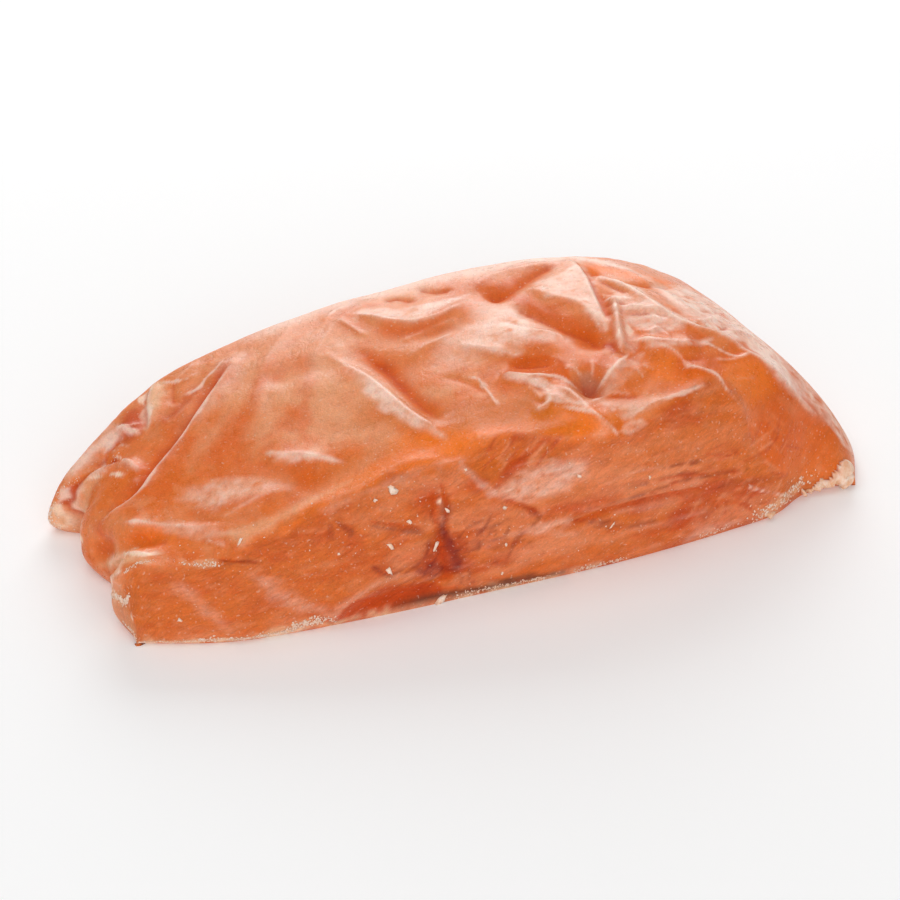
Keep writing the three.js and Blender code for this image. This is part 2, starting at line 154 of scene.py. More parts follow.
def line_through(points, steps=5):
    """Points of a smooth curve through the given ones: a uniform Catmull-Rom spline."""
    points = np.asarray(points, float)
    ends = np.vstack([2 * points[0] - points[1], points, 2 * points[-1] - points[-2]])
    t = np.arange(steps)[:, None] / steps
    parts = []
    for a, b, c, d in zip(ends[:-3], ends[1:-2], ends[2:-1], ends[3:]):
        bend, twist = 2 * a - 5 * b + 4 * c - d, 3 * b - a - 3 * c + d
        parts.append(0.5 * (2 * b + (c - a) * t + bend * t ** 2 + twist * t ** 3))
    return np.vstack(parts + [points[-1:]])


# How closely two stretches of a line must be equally near to be blended: on the line, and more for each
# millimetre away from it
BLEND, BLEND_AWAY = 0.15, 0.12


def nearest(along, around, points):
    """Distance from each place to a line on the skin, whether the place lies left of it, and the
    share of the line run there, blended where two stretches are about equally near."""
    line = line_through(points)
    step = np.diff(line, axis=0)
    length = np.linalg.norm(step, axis=1)
    start = np.concatenate([[0], np.cumsum(length)])
    a = along[None] - line[:-1, 0, None]
    b = around[None] - line[:-1, 1, None]
    way = step / length[:, None]
    run = np.clip(a * way[:, :1] + b * way[:, 1:], 0, length[:, None])
    distance = np.hypot(a - run * way[:, :1], b - run * way[:, 1:])
    side = way[:, :1] * b - way[:, 1:] * a
    best = distance.min(0)
    pick = distance.argmin(0)
    weight = np.exp(-(distance - best) / (BLEND + BLEND_AWAY * best))
    share = (weight * (start[:-1, None] + run)).sum(0) / weight.sum(0) / start[-1]
    return best, side[pick, np.arange(len(pick))] > 0, share


def near_line(along, around, points, reach):
    """Flat indices of the places within reach of a line's box, so that the rest is left alone."""
    low, high = np.min(points, 0) - reach, np.max(points, 0) + reach
    inside = (along > low[0]) & (along < high[0]) & (around > low[1]) & (around < high[1])
    return np.flatnonzero(inside.ravel())


# Each fold: its line on the skin, its rise, how far its left and right flanks reach, and the shares of
# the line in which it grows out of the skin at the start and the end. A negative rise is a valley.
EVEN = (0.25, 0.25)
FOLDS = (
    # left end: the creases, the torn rim, the crumpled far tip, the brow and rims over the near slab
    (((46, 71), (34, 60), (26, 51)), 1.2, 2.2, 1.8, EVEN),
    (((39, 65), (32, 58.5), (26, 54)), -0.8, 1.4, 1.4, EVEN),
    (((20, 53), (15, 49), (13, 46)), 1.0, 1.4, 1.4, EVEN),
    (((18, 48), (20, 44), (19, 39)), 0.8, 1.2, 2.0, EVEN),
    (((13, 30.5), (19, 26.5), (26, 25), (31, 22)), 1.0, 3.5, 1.2, (0.15, 0.4)),
    (((3.5, 29.5), (8, 26), (12, 22), (17, 19.5)), 1.1, 1.4, 1.6, (0.15, 0.2)),
    (((2, 27), (11, 18), (24, 17)), 0.7, 1.2, 1.4, EVEN),
    # left slope: two wet ridges and two broad bands
    (((37, 36.5), (41.5, 37.2), (45, 35), (48, 32.5)), 1.4, 3.0, 1.2, (0.3, 0.4)),
    (((24, 29.5), (28, 27), (31.5, 28.2), (36.5, 30), (41, 29)), 1.5, 4.5, 1.2, (0.3, 0.3)),
    (((57, 79), (45, 61), (37, 43)), 1.0, 3.5, 3.5, (0.3, 0.5)),
    (((75, 81), (60, 71), (48, 51), (44, 43)), 1.3, 4.0, 4.0, (0.2, 0.5)),
    # middle
    (((55, 66), (58.5, 55), (59.7, 48.5), (61, 42), (64, 33.5)), 1.7, 1.2, 3.5, (0.4, 0.15)),
    (((60.5, 65), (63, 56), (63.2, 47), (65.3, 36.5)), -1.7, 3.5, 1.8, (0.35, 0.25)),
    (((65, 75), (69, 69), (73.5, 67), (79, 68), (85, 72)), 1.4, 3.0, 1.4, (0.2, 0.3)),
    (((84, 72), (91, 77), (105, 76)), 0.7, 2.0, 2.0, EVEN),
    (((93.5, 71.5), (95.5, 64), (98, 59.5), (98, 54.5), (97, 49)), 1.2, 3.0, 1.2, (0.2, 0.15)),
    (((75, 58), (78, 54.5), (82, 52)), 0.9, 1.8, 1.1, EVEN),
    (((77, 47), (80.5, 43.5), (82.5, 40.5)), 1.0, 1.5, 1.3, EVEN),
    (((82.5, 41), (85.5, 38.5), (87, 34), (89, 29.5), (92, 26.5)), 1.3, 1.6, 1.8, EVEN),
    (((78, 36), (81, 35.5), (82.5, 40)), 1.0, 1.3, 1.1, EVEN),
    # the peak, its flap and trough, and the pit
    (((86, 70), (91, 70.5), (96, 73), (101, 74.5), (105, 74)), -1.3, 1.8, 2.2, (0.1, 0.25)),
    (((88, 67), (90.5, 60.5), (92.5, 55.5), (95, 51), (95, 45)), -1.7, 1.8, 2.2, (0.25, 0.2)),
    (((105, 59), (102, 53.5), (99.5, 49), (97, 43.5)), 2.2, 0.9, 0.9, (0.2, 0.2)),
    (((89, 42), (89.5, 37.5), (92.5, 35.5), (98, 33)), -1.1, 1.6, 1.2, EVEN),
    (((98, 42.5), (93, 39.8), (90, 38)), 1.5, 1.2, 2.0, EVEN),
    # right slope: the long ridge behind, the corner ridges and a thin pinched edge
    (((106.5, 69), (108.5, 57.5), (110.5, 46), (116, 40), (120.5, 33), (128, 20.5), (134, 14),
      (138, 10)), 1.7, 2.2, 3.0, (0.06, 0.2)),
    (((107, 73), (108, 65), (112, 60), (123, 57)), -1.0, 1.4, 1.4, EVEN),
    (((99, 45), (102, 44.5), (104, 42.5), (111, 39)), 1.3, 1.5, 1.2, EVEN),
    (((99.5, 43.5), (104, 41), (106.5, 36), (110, 32), (113.5, 26.5),
      (117, 18)), 1.6, 2.6, 3.0, (0.1, 0.25)),
    (((110, 31.5), (102, 31), (92.5, 29)), 0.8, 1.2, 2.0, (0.15, 0.3)),
    (((104, 55), (107, 51), (107, 46)), 0.8, 1.0, 1.0, EVEN),
    # cut face: its upper edge, the muscle pulled at its middle, the dark crease and the low lines
    (((26, 18), (37, 24), (47, 26), (57, 30), (65, 29)), 1.2, 3.5, 2.5, (0.1, 0.15)),
    (((64, 31), (71, 32), (81, 29), (95, 27)), 1.3, 3.5, 2.5, (0.2, 0.2)),
    (((64, 30), (67, 24), (69, 21)), 0.8, 1.6, 1.6, EVEN),
    (((69, 21), (76, 23), (84, 23)), 0.9, 2.0, 2.0, EVEN),
    (((60, 28), (60, 17), (62, 3)), -1.5, 1.8, 1.8, (0.3, 0.1)),
    (((71, 19), (74, 17), (78, 15)), -0.7, 1.4, 1.4, EVEN),
    (((80, 10), (94, 12), (110, 11)), -0.7, 1.4, 1.4, EVEN),
    (((104, 10), (114, 6), (120, 3)), -0.5, 1.4, 1.4, EVEN),
    (((66, 9), (73, 12), (87, 8)), 0.8, 2.0, 2.0, EVEN),
    (((41, 2), (47, 7), (53, 9)), 1.2, 1.4, 2.2, (0.05, 0.4)),
)
# A lap is an edge where the skin on the left of its line lies over the skin on its right.
LAPS = (
    (((44, 69), (36, 59), (29, 50), (23, 43), (17, 36), (10, 33)), 1.8, 7.0, 3.0, (0.25, 0.12)),
    (((30, 68), (27.5, 63), (25.5, 57), (24, 53)), 1.7, 3.5, 2.5, EVEN),
    (((20, 48), (12.5, 47), (9, 45.5), (6.5, 44.5), (5, 40), (5, 35)), 1.8, 4.0, 3.0, (0.2, 0.2)),
    (((107, 76), (106, 70), (103.5, 64), (101, 57), (99, 51)), -1.6, 3.5, 5.0, (0.1, 0.2)),
)
# Rounded swells and hollows: place, half lengths along and around, and rise.
SWELLS = (
    ((14, 25), 5.0, 2.1, -2.3),
    ((6.5, 30), 2.6, 2.6, -2.0),
    ((27, 27), 5.0, 1.6, -0.9),
    ((41, 31), 6.0, 3.5, -0.7),
    ((50, 59), 8.0, 3.0, -0.9),
    ((67, 56), 6.0, 4.0, -0.6),
    ((74, 64), 7.0, 2.6, -0.9),
    ((88, 70.5), 2.4, 2.4, -1.0),
    ((84, 59), 6.0, 6.0, 0.8),
    ((83.5, 49), 4.0, 2.4, -1.3),
    ((94, 51), 3.0, 3.0, -0.7),
    ((89.5, 39.5), 2.6, 2.8, -3.0),
    ((117, 36), 4.4, 2.5, -0.8),
    ((123, 20), 8.0, 7.0, -1.2),
    ((71, 27), 5.2, 3.0, -1.3),
    ((56, 3), 10.5, 2.6, -2.6),
    ((29, 9), 8.0, 5.0, 0.5),
    ((79, 16), 8.0, 4.0, 0.6),
    ((97, 20), 8.0, 4.0, 0.5),
)
# Small folds that only the finer mesh of the film shows: line, rise and reach
SMALL_FOLDS = (
    # left end: grooves of the crumpled tip and the shade beside the second crease
    (((22, 57), (17.5, 51), (14, 48)), -0.9, 0.8), (((22, 58), (22, 55.5), (23, 53)), 0.7, 0.7),
    (((25, 57), (20.5, 55), (18, 52)), 0.6, 0.7), (((18.5, 47.5), (20, 45.5), (20.5, 42)), 0.6, 0.8),
    (((16, 46), (14, 46), (12.5, 47)), 0.5, 0.6), (((10, 42), (8, 39), (8, 35)), 0.5, 1.6),
    (((5, 24), (8, 20), (9, 15)), 0.4, 1.0), (((24, 22.5), (27, 20)), 0.4, 0.8),
    (((33, 67), (31, 62), (30, 58)), -0.5, 0.9), (((38, 71), (33, 66), (30, 64)), 0.4, 0.7),
    # middle: streaks of the film drawn towards the peak
    (((71, 77.5), (74, 77.5), (76, 74.5)), -0.5, 0.8),
    (((78, 80), (80.5, 76.5), (83.5, 76.5)), -0.5, 0.8),
    (((67, 63), (71, 64), (76, 65), (80, 65)), 0.4, 1.0), (((66, 58), (71, 60), (78, 62)), 0.3, 0.9),
    (((62, 74), (63, 70), (64, 66)), 0.4, 0.6), (((69, 51), (72, 47), (74, 42)), -0.3, 1.0),
    (((86, 57), (90, 55), (92, 52)), 0.3, 0.7), (((84, 62), (87, 58), (91, 56)), -0.25, 0.9),
    # crumples right of the peak
    (((105.5, 65), (106.5, 60), (108, 56.5)), -0.39, 0.45),
    (((102.5, 54.8), (106, 53.5), (110, 49)), 0.3, 0.4),
    (((102, 48.5), (104, 46.5), (106.5, 46.5)), 0.33, 0.45),
    (((105, 47.5), (106, 46), (106.5, 43)), 0.33, 0.38),
    (((102.5, 52.8), (106, 51), (110, 46.5)), -0.3, 0.4),
    (((101.5, 57), (103, 55.5), (105.5, 55)), -0.33, 0.38),
    (((100.5, 54.5), (101.5, 53), (103, 52.5)), -0.28, 0.3),
    (((103, 60.5), (104.5, 58.5), (107, 58.5)), 0.22, 0.38),
    (((109, 62), (112, 57), (114, 52)), 0.22, 0.68), (((112, 47), (115, 45), (121, 46)), 0.33, 0.52),
    (((113, 43.5), (117, 42), (122, 43)), -0.33, 0.45), (((120, 42), (124, 40), (126, 36)), 0.28, 0.52),
    (((118, 49), (122, 47), (125, 48)), -0.22, 0.45), (((124, 34), (127, 30), (130, 25)), -0.22, 0.6),
    (((111.5, 36), (115, 34.8), (119.5, 34.5)), 0.33, 0.45), (((114.5, 30.5), (118.5, 29.5)), 0.17, 0.38),
    (((104, 38), (107, 37), (110, 36.5)), -0.22, 0.52),
    # round the pit: rays of the drawn film
    (((97.5, 40), (98, 38.5), (98.5, 36.5)), 0.22, 0.32),
    (((99, 40), (100, 38.5), (101, 37.5)), 0.19, 0.32),
    (((87.5, 34), (91.5, 36.2), (97, 34)), 0.39, 0.56),
    (((79.5, 42.5), (80.5, 40), (81, 37)), 0.28, 0.48), (((84, 43), (86.5, 41.5), (88, 40)), -0.22, 0.48),
    (((87, 45), (88.5, 43.5), (89.3, 41.5)), 0.22, 0.32), (((92, 45), (91.5, 43), (90.5, 41)), 0.28, 0.4),
    (((81, 39), (84, 36.5), (86, 33)), 0.22, 0.56),
    # the hollow beside the pit: a higher crest with a dip behind it
    (((77, 46.5), (80.5, 44.3), (84.5, 43.2)), 0.5, 0.7), (((79.5, 49), (83, 48), (86.5, 46)), -0.6, 1.3),
    # cut face: slits between the muscle's flakes, and a low lip
    (((24, 18.5), (28, 17), (32, 16)), -0.4, 0.35), (((48, 20.5), (53, 18.5), (58.5, 16)), -0.45, 0.35),
    (((80, 11), (88, 12), (99, 11.8), (111, 11)), -0.45, 0.4),
    (((97, 16), (104, 15), (110, 13.5)), -0.35, 0.35), (((71, 19.5), (75, 16.5), (78, 15)), -0.4, 0.5),
    (((28, 14), (36, 12), (40, 13)), 0.3, 1.2), (((61, 27), (62, 20), (61.5, 12)), -0.5, 0.5),
    (((90, 8), (100, 6.5), (112, 7)), 0.4, 0.9), (((72, 24.5), (76, 25.5), (82, 25)), 0.5, 0.8),
    (((86, 17), (94, 19), (102, 18)), 0.3, 1.2),
)
# Torn edges of the film and of the fat: line and half width
TEARS = (
    (((5, 29), (9, 25.5), (13.5, 20.8), (16, 20.5), (18.5, 21.5)), 0.27),
    (((12.5, 47), (10.5, 46), (8.5, 45.5), (6.5, 44.5), (3.8, 43), (5.8, 36.5), (5, 32)), 0.33),
    (((29, 66.5), (28, 65), (26.5, 63), (26.5, 61), (25.5, 58), (24, 53.5)), 0.3),
    (((12.5, 47), (13.5, 45.5), (15, 44.5), (17, 44), (18.5, 42.5)), 0.21),
    (((7, 20), (10, 19), (11, 19.3)), 0.3), (((1, 46), (3.5, 44.7), (6, 46), (7, 48)), 0.36),
    (((105.8, 58.5), (103.5, 54.5), (101.6, 50), (100.5, 46)), 0.24),
    (((104.3, 57.5), (101, 52.5), (98.6, 47.5), (97.5, 44)), 0.21),
    (((61.2, 24), (60.9, 22), (61.2, 20.3)), 0.18),
    (((4, 1.0), (10, 0.5), (20, 0.6), (30, 0.5), (41, 1.0)), 0.33),
    (((5, 3), (5.5, 8), (7.5, 14), (9, 17.5)), 0.3),
)
# Lines along which the film is pinched into a fine crease, pale partly of itself and partly by a painted
# highlight: line and width
PINCHES = (
    (((43.5, 67.9), (36.3, 58.8), (29.3, 49.8), (23.3, 42.8), (17.4, 35.9), (12, 33.3)), 0.42),
    (((12.5, 31.5), (14.5, 29.5), (17.5, 27.5), (20, 26.5), (24, 25)), 0.32),
    (((17.5, 50.5), (18, 49.5), (19, 47), (20, 45)), 0.35),
    (((31.5, 61), (34.5, 61.5), (37, 64), (39, 65.5), (42.5, 70)), 0.3),
    (((22, 58), (22, 55.5), (23, 53)), 0.3), (((30.5, 66.5), (33.5, 65.5), (37, 67)), 0.3),
    (((65.5, 74.5), (68, 71), (70.5, 68.5), (72.5, 67)), 0.35),
    (((59.5, 74), (63, 77.5), (66, 78.5)), 0.3), (((76, 56.5), (78, 54.5), (80, 52.5), (83, 51)), 0.32),
    (((77.5, 45.5), (79.5, 44), (83.5, 43.5), (85.5, 42.5), (88, 39)), 0.38),
    (((80, 43.5), (82, 41), (82.8, 38.5)), 0.3), (((82.5, 38.5), (81.5, 36.5), (79, 36)), 0.32),
    (((72, 49), (74, 47), (74, 42), (74.3, 38.5)), 0.28),
    (((107, 75.5), (105.9, 70), (103.3, 64), (100.9, 57), (99.1, 52)), 0.42),
    (((90, 38.5), (93, 39.8), (97, 42.5), (99, 43.8)), 0.3),
    (((106, 66), (107.5, 62), (109.5, 56.5)), 0.3), (((103, 53.8), (106.5, 52.3), (110, 48)), 0.25),
    (((102, 58), (105.5, 57), (108.5, 53)), 0.22), (((104, 46), (106, 46.5), (108, 46)), 0.25),
    (((98.5, 47), (101.5, 45), (105.5, 42.5), (111, 40.5)), 0.3),
    (((101, 43), (104, 41), (105.5, 38.5), (106, 36), (108, 34.5), (110.5, 32.5), (111.5, 29.5),
      (113, 27), (114.5, 25.5)), 0.34),
    (((110.5, 40.5), (112.5, 39), (114.5, 37), (117, 35), (120, 35)), 0.3),
    (((93.5, 29.5), (97.5, 31), (102, 31), (109, 31)), 0.36),
    (((83, 35.5), (88.5, 31), (91, 27.5), (92, 26)), 0.32),
    (((106.5, 69), (108.5, 57.5), (110.5, 46), (116, 40), (120.5, 33), (128, 20.5), (134.5, 13.5)), 0.4),
    (((111, 45), (114, 44.5), (115.5, 42), (122, 41)), 0.3), (((120, 43), (126, 42), (126, 37)), 0.3),
    (((115.5, 56), (119, 52), (124, 50)), 0.25), (((115, 9.5), (118.5, 7.5), (126, 3)), 0.3),
)
# The guessed folds of the far side: each value with a spread is (least, spread), in millimetres
FAR_SIDE = {
    "folds": 13, "start": 12, "stop": 122, "top": (84, 4), "foot": 106, "slant": 9, "sway": 5,
    "rise": (0.8, 0.7), "reach": (1.5, 1.5), "seed": 41,
}
FACTOR, MODULUS = 16807, 2147483647


def far_side_folds(folds, start, stop, top, foot, slant, sway, rise, reach, seed):
    """Folds down the far side, unevenly spaced: the same run of numbers x -> 16807 x mod (2^31 - 1)."""
    state = seed
    found = []

    def draw(least=0, spread=1):
        nonlocal state
        state = state * FACTOR % MODULUS
        return least + spread * (state / MODULUS)

    for k in range(folds):
        place = start + (stop - start) / folds * (k + draw())
        lean = slant * (draw() - 0.5)
        bow = sway * (draw() - 0.5)
        line = ((place, draw(*top)), (place + lean / 2 + bow, (top[0] + foot) / 2), (place + lean, foot))
        found.append((line, draw(*rise), draw(*reach), draw(*reach), EVEN))
    return tuple(found)


# How many of its reaches from its line a fold is still worked out
FOLD_SPAN, SMALL_SPAN = 6, 5


def relief(along, around, crest, lap):
    """Height over the smooth block: folds rise * exp(-flank / reach), laps rise / 2 * tanh(side / lap)
    * exp(-distance / reach), both tapered to nothing at their ends, and Gaussian swells."""
    height = np.zeros(along.shape)
    flat = height.reshape(-1)
    for folds, lapped in ((FOLDS + far_side_folds(**FAR_SIDE), False), (LAPS, True)):
        for line, rise, left_reach, right_reach, fade in folds:
            spot = near_line(along, around, line, FOLD_SPAN * max(left_reach, right_reach))
            distance, left, share = nearest(along.ravel()[spot], around.ravel()[spot], line)
            reach = np.where(left, left_reach, right_reach)
            taper = ease(share / fade[0]) * ease((1 - share) / fade[1])
            if lapped:
                bump = np.tanh(np.where(left, distance, -distance) / lap) * np.exp(-distance / reach) / 2
            else:
                bump = np.exp((crest - np.hypot(distance, crest)) / reach)
            flat[spot] += rise * taper * bump
    for (a, b), long, wide, rise in SWELLS:
        height += rise * np.exp(-(((along - a) / long) ** 2 + ((around - b) / wide) ** 2))
    return height


def skin(u, v, crest, lap, fine=None):
    """Points of the skin, its places and the height of its relief, which lies along the direction
    that the smooth block faces. No point is below z = 0."""
    point, along, around = block(u, v)
    normal = facing(u, v)
    height = relief(along, around, crest, lap) * RELIEF_SHARE
    if fine is not None:
        height += fine(point, along, around)
    point = point + normal * (height * np.clip(point[..., 2] / RIM_FADE, 0, 1))[..., None]
    point[..., 2] = np.maximum(point[..., 2], 0)
    return point, along, around, height


def cells(count_u, count_v):
    """Grid values from 0 to 1 along and around, (count + 1) of each."""
    return np.meshgrid(np.linspace(0, 1, count_u + 1), np.linspace(0, 1, count_v + 1), indexing="ij")


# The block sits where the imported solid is, which has fewer cells and softer crests and laps.
PACKED_CELLS, PACKED_CREST, PACKED_LAP = (94, 60), 0.8, 0.9
packed = skin(*cells(*PACKED_CELLS), PACKED_CREST, PACKED_LAP)[0].reshape(-1, 3)
packed_middle = (packed.min(0) + packed.max(0)) / 2
SHIFT = np.array([-packed_middle[0], -packed_middle[1], 0.0])

LATTICE, LATTICE_START = 32, 1000.0


def lattice_noise(point, size, seed):
    """Smooth noise from -1 to 1: random values on a lattice of the given cell size, blended between
    the eight corners of each cell by the cubic ease."""
    values = np.random.default_rng(seed).uniform(-1, 1, (LATTICE, LATTICE, LATTICE))
    place = np.asarray(point) / size + LATTICE_START
    cell = np.floor(place).astype(int)
    x, y, z = np.moveaxis(ease(place - cell), -1, 0)
    i, j, k = np.moveaxis(cell, -1, 0) % LATTICE
    i2, j2, k2 = (i + 1) % LATTICE, (j + 1) % LATTICE, (k + 1) % LATTICE

    def edge(b, c):
        return values[i, b, c] * (1 - x) + values[i2, b, c] * x

    low = edge(j, k) * (1 - y) + edge(j2, k) * y
    high = edge(j, k2) * (1 - y) + edge(j2, k2) * y
    return low * (1 - z) + high * z


def layered_noise(point, size, seed, layers=3):
    """Noise in layers, each half the size and half the strength of the one before."""
    return sum(lattice_noise(point, size / 2 ** k, seed + k) / 2 ** k for k in range(layers))


def creased_noise(point, size, seed, layers=3):
    """Sharp wandering creases: 1 - 2 |noise| in layers, so it is highest along thin lines."""
    noise_layers = (np.abs(lattice_noise(point, size / 2 ** k, seed + k)) for k in range(layers))
    return sum((1 - 2 * layer) / 2 ** k for k, layer in enumerate(noise_layers))


# The upper edge of the cut face, where the membrane begins, as around over along
EDGE_ALONG = (-10, 2, 24, 37, 47, 57, 65, 71, 81, 93, 101, 109, 114, 117, 122, 130, 150)
EDGE_AROUND = (13, 17, 17, 24, 26, 30, 29, 32, 29, 27, 30, 32, 27, 18, 10, 4, -4)


def cut_share(along, around, width=1.2):
    """1 on the cut face and 0 on the membrane, changing over a width about the upper edge."""
    return ease((through(EDGE_ALONG, EDGE_AROUND, along) - around) / width + 0.5)


# Small folds and pinches: how blunt their crests are, and the share of the line over which they grow
# out of the skin at each end. A pinch rises by a share of its width.
SMALL_BLUNT, SMALL_FADE = 0.2, 0.25
PINCH_BLUNT, PINCH_FADE, PINCH_RISE = 0.15, 0.2, 0.38
# Where the film is crumpled: place, half lengths along and around, and share. The far side, from this
# far around, is crumpled a little too.
CRUMPLED = (((112, 58), 14, 16, 1.0), ((18, 54), 8, 7, 0.6))
FAR_SIDE_FROM, FAR_CRUMPLE = 84, 0.4
# Heights of the film's swell, of its creases where it is smooth and, added, where it is crumpled, and of
# the muscle's swell and its fibres
FILM_SWELL, CREASE_SMOOTH, CREASE_CRUMPLED = 0.05, 0.03, 0.22
MUSCLE_SWELL, FIBRE_RISE = 0.16, 0.10


def add_folds(height, along, around, folds, blunt, fade):
    """Adds small folds to a height: rise * exp((blunt - hypot(distance, blunt)) / reach), growing over
    the share fade of the line at its ends."""
    flat = height.reshape(-1)
    for line, rise, reach in folds:
        spot = near_line(along, around, line, SMALL_SPAN * reach)
        distance, left, share = nearest(along.ravel()[spot], around.ravel()[spot], line)
        taper = ease(share / fade) * ease((1 - share) / fade)
        flat[spot] += rise * taper * np.exp((blunt - np.hypot(distance, blunt)) / reach)


def fine_relief(point, along, around):
    """Crinkles of the membrane, strongest at the peak and down the right end, and the rougher,
    stringy surface of the cut muscle, drawn out along the fibres."""
    cut = cut_share(along, around)
    small = np.zeros(along.shape)
    add_folds(small, along, around, SMALL_FOLDS, SMALL_BLUNT, SMALL_FADE)
    pinches = [(line, PINCH_RISE * width, width) for line, width in PINCHES]
    add_folds(small, along, around, pinches, PINCH_BLUNT, PINCH_FADE)
    crumple = FAR_CRUMPLE * ease((around - FAR_SIDE_FROM) / 10)
    for (a, b), long, wide, share in CRUMPLED:
        crumple += share * np.exp(-((along - a) / long) ** 2 - ((around - b) / wide) ** 2)
    drawn = np.stack([0.9 * along + 0.1 * around, 0.22 * around, 0 * along], -1)
    creases = (CREASE_SMOOTH + CREASE_CRUMPLED * crumple) * (creased_noise(drawn, 4.0, 21) - 0.6)
    film = FILM_SWELL * layered_noise(point, 9.0, 11) + creases
    x, y, z = np.moveaxis(point, -1, 0)
    fibre = np.stack([x * 0.35 - z * 0.5, y, z * 1.5 + x * 0.25], -1)
    muscle = MUSCLE_SWELL * layered_noise(point, 6.0, 31) + FIBRE_RISE * layered_noise(fibre, 1.6, 41)
    return small + film * (1 - cut) + muscle * cut


FINE_ALONG, FINE_AROUND, FINE_CREST, FINE_LAP = 390, 236, 0.3, 0.35
grid_u, grid_v = cells(FINE_ALONG, FINE_AROUND)
skin_point, skin_along, skin_around, skin_height = skin(grid_u, grid_v, FINE_CREST, FINE_LAP, fine_relief)


def mesh_piece(name, vertices, faces, slot, colours=None, attributes=None, uv=None, flat=None):
    """A mesh object from vertices in millimetres of the block's frame and arrays of triangles or quads,
    with point colours and values, set at the origin, smooth shaded but for the arrays marked flat,
    and riding on the root body."""
    faces = [np.asarray(part, np.int32) for part in faces]
    flat = flat or [False] * len(faces)
    vertices = (np.asarray(vertices, float).reshape(-1, 3) + SHIFT) * MM
    corners = np.concatenate([part.ravel() for part in faces])
    sides = np.concatenate([np.full(len(part), part.shape[1]) for part in faces])
    starts = np.concatenate([[0], np.cumsum(sides)[:-1]])
    smooth = np.concatenate([np.full(len(part), not level) for part, level in zip(faces, flat)])
    mesh = bpy.data.meshes.new(name)
    mesh.vertices.add(len(vertices))
    mesh.vertices.foreach_set("co", vertices.astype(np.float32).ravel())
    mesh.loops.add(len(corners))
    mesh.loops.foreach_set("vertex_index", corners)
    mesh.polygons.add(len(sides))
    mesh.polygons.foreach_set("loop_start", starts.astype(np.int32))
    mesh.update(calc_edges=True)
    mesh.polygons.foreach_set("use_smooth", smooth)
    if colours is not None:
        layer = mesh.attributes.new("paint", "FLOAT_COLOR", "POINT")
        opaque = np.column_stack([colours, np.ones(len(colours))])
        layer.data.foreach_set("color", opaque.astype(np.float32).ravel())
    for key, values in (attributes or {}).items():
        layer = mesh.attributes.new(key, "FLOAT", "POINT")
        layer.data.foreach_set("value", np.asarray(values, np.float32).ravel())
    if uv is not None:
        layer = mesh.uv_layers.new(name="skin")
        layer.data.foreach_set("uv", np.asarray(uv, np.float32).reshape(-1, 2)[corners].ravel())
    piece = bpy.data.objects.new(name, mesh)
    bpy.context.scene.collection.objects.link(piece)
    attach(piece, "root")
    return piece


def grid_faces(rows, columns):
    """Quads of a grid of points, rows by columns."""
    index = np.arange(rows * columns).reshape(rows, columns)
    return np.stack([index[:-1, :-1], index[1:, :-1], index[1:, 1:], index[:-1, 1:]], -1).reshape(-1, 4)


# Rings of the underside: shares by which the foot's outline is drawn in towards its middle
UNDER_RINGS = (0.97, 0.85, 0.5)


def underside(rim, first):
    """Points and faces that close a flat outline from below: rings of the outline drawn in towards its
    middle, and a last single point. rim holds the outline's indices in order."""
    outline = skin_point.reshape(-1, 3)[rim]
    centre = outline.mean(0)
    points = [centre + (outline - centre) * share for share in UNDER_RINGS] + [centre[None]]
    loops = [rim] + [first + k * len(rim) + np.arange(len(rim)) for k in range(len(UNDER_RINGS))]
    quads = [np.stack([a, b, np.roll(b, -1), np.roll(a, -1)], -1) for a, b in zip(loops[:-1], loops[1:])]
    last = loops[-1]
    middle = np.full(len(last), first + len(UNDER_RINGS) * len(rim))
    return np.vstack(points), np.vstack(quads), np.stack([last, middle, np.roll(last, -1)], -1)


def srgb(*levels):
    """Linear values of a colour given as 0 to 255 levels on a screen."""
    share = np.asarray(levels, float) / 255
    return np.where(share > 0.04045, ((share + 0.055) / 1.055) ** 2.4, share / 12.92)


# Seeds of the noise by which strokes, blots and facets waver
STROKE_SEED, BLOT_SEED, FACET_SEED = 61, 71, 63


def stroke(line, wide, waver=0.0, ends=(0.2, 0.2)):
    """Share of paint 1 on a line on the skin and exp(-(distance / wide)^2) beside it, less at its ends,
    with the distance wavering by smooth noise."""
    share = np.zeros(skin_along.size)
    spot = near_line(skin_along, skin_around, line, 3.5 * wide + waver)
    distance, left, run = nearest(skin_along.ravel()[spot], skin_around.ravel()[spot], line)
    if waver:
        shake = layered_noise(skin_point.reshape(-1, 3)[spot], 2.5, STROKE_SEED)
        distance = np.maximum(distance + waver * shake, 0)
    share[spot] = np.exp(-(distance / wide) ** 2) * ease(run / ends[0]) * ease((1 - run) / ends[1])
    return share.reshape(skin_along.shape)


def blot(place, long, wide, turn=0.0, waver=0.0):
    """Share of paint 1 up to half the size of an ellipse on the skin, easing to 0 at one and a half
    times its size, its edge wavering by smooth noise."""
    turn = np.radians(turn)
    a, b = skin_along - place[0], skin_around - place[1]
    lengthwise, across = a * np.cos(turn) + b * np.sin(turn), b * np.cos(turn) - a * np.sin(turn)
    size = np.hypot(lengthwise / long, across / wide)
    if waver:
        size = size + waver * layered_noise(skin_point, 4.0, BLOT_SEED)
    return ease(1.5 - size)


def paint(colours, colour, share):
    """The colours with one more colour laid over them in the given shares."""
    return colours + (colour - colours) * np.clip(share, 0, 1)[..., None]


def softened(values, reach):
    """Values on the grid, each the mean of the (2 reach + 1)^2 round it, done twice."""
    for _ in range(2):
        for axis in (0, 1):
            padded = np.concatenate([np.repeat(values.take([0], axis), reach + 1, axis), values,
                                     np.repeat(values.take([-1], axis), reach, axis)], axis)
            total = np.cumsum(padded, axis)
            span = 2 * reach + 1
            upper = total.take(np.arange(span, total.shape[axis]), axis)
            values = (upper - total.take(np.arange(total.shape[axis] - span), axis)) / span
    return values


